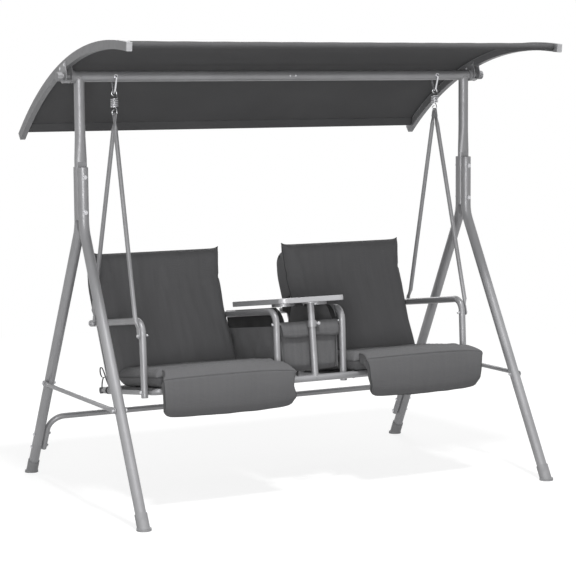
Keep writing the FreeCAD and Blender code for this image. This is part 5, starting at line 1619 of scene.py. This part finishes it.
print("tie paths:", [round(path_length(path), 3) for path in tie_paths(OUTER_RAIL, 1)], "m")

# %% [markdown]
# ## Ribbon ties
# A ribbon is flat, so a bevelled curve, which is round, won't do. Each path becomes a strip of
# quads as wide as the ribbon. The five strips of a tie are one mesh and one sheet, because they are
# one length of ribbon.

# %% Ribbon ties
RIBBON_HALF = 0.0060
RIBBON_THICK = 0.0008


def ribbon(path):
    """Points and faces of a flat strip along a path, as wide as the ribbon in the seat's own Y."""
    points = []
    for point in path:
        points += [Vector(point) - SEAT_BACK * RIBBON_HALF, Vector(point) + SEAT_BACK * RIBBON_HALF]
    return points, grid_faces(len(path), 2)


def make_ties():
    rails = (("outer", OUTER_RAIL, "seat_base_tube"), ("inner", INNER_RAIL, "seat_inner_rails"))
    for name, side in SIDES.items():
        for place, rail, node in rails:
            paths = tie_paths(side * rail, side)
            points, faces = joined(*[ribbon(path) for path in paths])
            tie = make_sheet("_".join((name, place, "tie")), points, faces, RIBBON_CLOTH,
                             RIBBON_THICK, "seat", "cushion_fabric")
            length = sum(path_length(path) for path in paths)
    return length


print("ties: one at each rear corner of both seats, ribbon length", round(make_ties(), 3))

# %% [markdown]
# ## Rod screws
# Domed screws hold the bag's front rod at the inner armrests, with a head on either side of each
# tube. A sphere squashed to a dome would do, but a profile turned round its axis also gives the
# thin washer under it, in one mesh.

# %% Rod screws
SCREW_HEAD = 0.0058
SCREW_RISE = 0.0036
SCREW_WASHER = 0.0072
WASHER_HALF = 0.0008
SCREW_BASE = 0.0010
SCREW_SINK = 0.0004
SCREW_SIDES = 20


def turned(profile, place):
    """A round piece from pairs of radius and height. place turns radius, angle, height to a point."""
    angles = [2 * math.pi * j / SCREW_SIDES for j in range(SCREW_SIDES)]
    points = [place(radius, angle, height) for radius, height in profile for angle in angles]
    faces = grid_faces(len(profile), SCREW_SIDES, close_columns=True)
    return points, capped(faces, len(profile), SCREW_SIDES)


def make_rod_screws():
    front = FRONT_ROD
    profile = [(SCREW_WASHER, -WASHER_HALF), (SCREW_WASHER, WASHER_HALF), (SCREW_HEAD, SCREW_BASE)]
    for a in np.linspace(0.2, 1.45, 6):
        profile.append((SCREW_HEAD * math.cos(a), SCREW_BASE + SCREW_RISE * math.sin(a)))
    heads = []
    for side in SIDES.values():
        for way in (1, -1):
            x = side * (INNER_RAIL - SEAT_TUBE) + way * (SEAT_TUBE / 2 - SCREW_SINK)

            def place(radius, angle, height):
                return seat_point(x + way * height, front[0] + radius * math.cos(angle) * way,
                                  front[1] + radius * math.sin(angle))

            heads.append(turned(profile, place))
    make_piece("bag_rod_screws", *joined(*heads), ZINC, "seat", "zinc")
    return len(heads)


print("rod screws:", make_rod_screws(), "heads")

# %% [markdown]
# ## Welds: where two tubes cross
# The tubes are welded where they meet, and the paint covers the bead. A ring would cut into the
# tubes, so the bead follows the curve where their surfaces cross: for each turn round the standing
# tube, the height at which that line meets the lying one. A slight wave keeps it from looking
# machined.

# %% Welds: where two tubes cross
BEAD_STEPS = 48
BEAD_WAVE = 0.0006


def weld_path(foot, standing, lying, radius):
    """The crossing of the surfaces of two equal tubes, on the side that standing points to."""
    standing = Vector(standing).normalized()
    lying = Vector(lying).normalized()
    side = standing.cross(lying).normalized()
    along = side.cross(standing).normalized()
    up = standing - lying * standing.dot(lying)
    path = []
    for i in range(BEAD_STEPS):
        a = 2 * math.pi * i / BEAD_STEPS
        spot = side * (radius * math.cos(a)) + along * (radius * math.sin(a))
        flat = spot - lying * spot.dot(lying)
        crown = math.sqrt(max(0.0, radius**2 - spot.dot(side) ** 2))
        height = (crown - flat.dot(up.normalized())) / up.length
        path.append(Vector(foot) + spot + standing * (height + BEAD_WAVE * math.sin(13 * a)))
    return path


square_joint = weld_path((0, 0, 0), (0, 0, 1), (1, 0, 0), SEAT_TUBE / 2)
print("bead on a square joint of seat tubes:", round(path_length(square_joint), 3), "m")

# %% [markdown]
# ## Welds
# Beads show under the top bar, at the foot of the table's post, at both ends of the inner rails and
# at the feet of the back frames. A thin tube along each curve is the bead. They could be one object
# each, but the beads of a body move together, so each body gets them as one mesh in the tubes'
# paint.

# %% Welds
BEAD = 0.0021
BEAD_SIDES = 6
FRONT_RAIL_Y = -0.255
REAR_RAIL_Y = 0.237


def bar_welds(sideways):
    low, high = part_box("top_bar_right")
    radius = (high.z - low.z) / 2
    paths = []
    for name in SIDES:
        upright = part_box(name + "_upright")
        foot = Vector(((upright[0].x + upright[1].x) / 2, 0, (low.z + high.z) / 2))
        paths.append(weld_path(foot, Vector((0, 0, -1)), sideways, radius))
    return paths


def seat_welds(sideways):
    radius = SEAT_TUBE / 2
    lean = SEAT_UP * math.cos(BACK_LEAN) + SEAT_BACK * math.sin(BACK_LEAN)
    paths = [weld_path(seat_point(0, FRONT_RAIL_Y, 0), SEAT_UP, sideways, radius)]
    for side in SIDES.values():
        inner, outer = side * INNER_RAIL, side * OUTER_RAIL
        paths.append(weld_path(seat_point(inner, FRONT_RAIL_Y, 0), SEAT_BACK, sideways, radius))
        paths.append(weld_path(seat_point(inner, REAR_RAIL_Y, 0), -SEAT_BACK, sideways, radius))
        for x in (inner, outer):
            paths.append(weld_path(seat_point(x, BACK_FOOT_Y, 0), lean, SEAT_BACK, radius))
    return paths


def make_welds():
    sideways = Vector((1, 0, 0))
    beads = {"stand": bar_welds(sideways), "seat": seat_welds(sideways)}
    for body, paths in beads.items():
        points, faces = joined(*[tube(path, BEAD, BEAD_SIDES, closed=True) for path in paths])
        make_piece(body + "_welds", points, faces, WELD, body, "frame_paint")
    return {body: len(paths) for body, paths in beads.items()}


print("weld beads:", make_welds())

# %% [markdown]
# ## Stitching
# Fine thread holds the canopy's two pockets. A dashed line in the cloth's material could stand for
# it, but it would be flat in a close view and lost in the exported mesh. Each stitch is a short bar
# that lies on the cloth, above and below, and all of them together are one mesh.

# %% Stitching
STITCH = 0.0030
STITCH_GAP = 0.0045
STITCH_INSET = 0.022
STITCH_MARGIN = 0.01
STITCH_SIDES = 5
THREAD = 0.0005


def stitch_row(path, outward):
    """Short bars along a path, lifted off the cloth along outward."""
    parts = []
    for start, end in zip(path, path[1:]):
        way = (end - start).normalized()
        for i in range(int((end - start).length / STITCH_GAP)):
            a = start + way * (STITCH_GAP * i) + outward * THREAD
            parts.append(tube([a, a + way * STITCH], THREAD, STITCH_SIDES))
    return joined(*parts)


def make_stitching():
    front, rear = hem_angles()
    inset = STITCH_INSET / CLOTH_RADIUS
    reach = CLOTH_HALF - STITCH_MARGIN
    rows = []
    for angle in (front + inset, rear - inset):
        out = arch_point(0, 1, angle) - arch_point(0, 0, angle)
        for lift in (1, -1):
            radius = CLOTH_RADIUS + lift * CANOPY_THICK / 2
            path = [arch_point(x, radius, angle) for x in np.linspace(-reach, reach, 12)]
            rows.append(stitch_row(path, out * lift))
    make_piece("canopy_stitches", *joined(*rows), THREAD_AND_SEAM_SHADE, "canopy", "canopy_fabric")
    return len(rows)


print("stitches:", make_stitching(), "rows on the canopy's pockets")
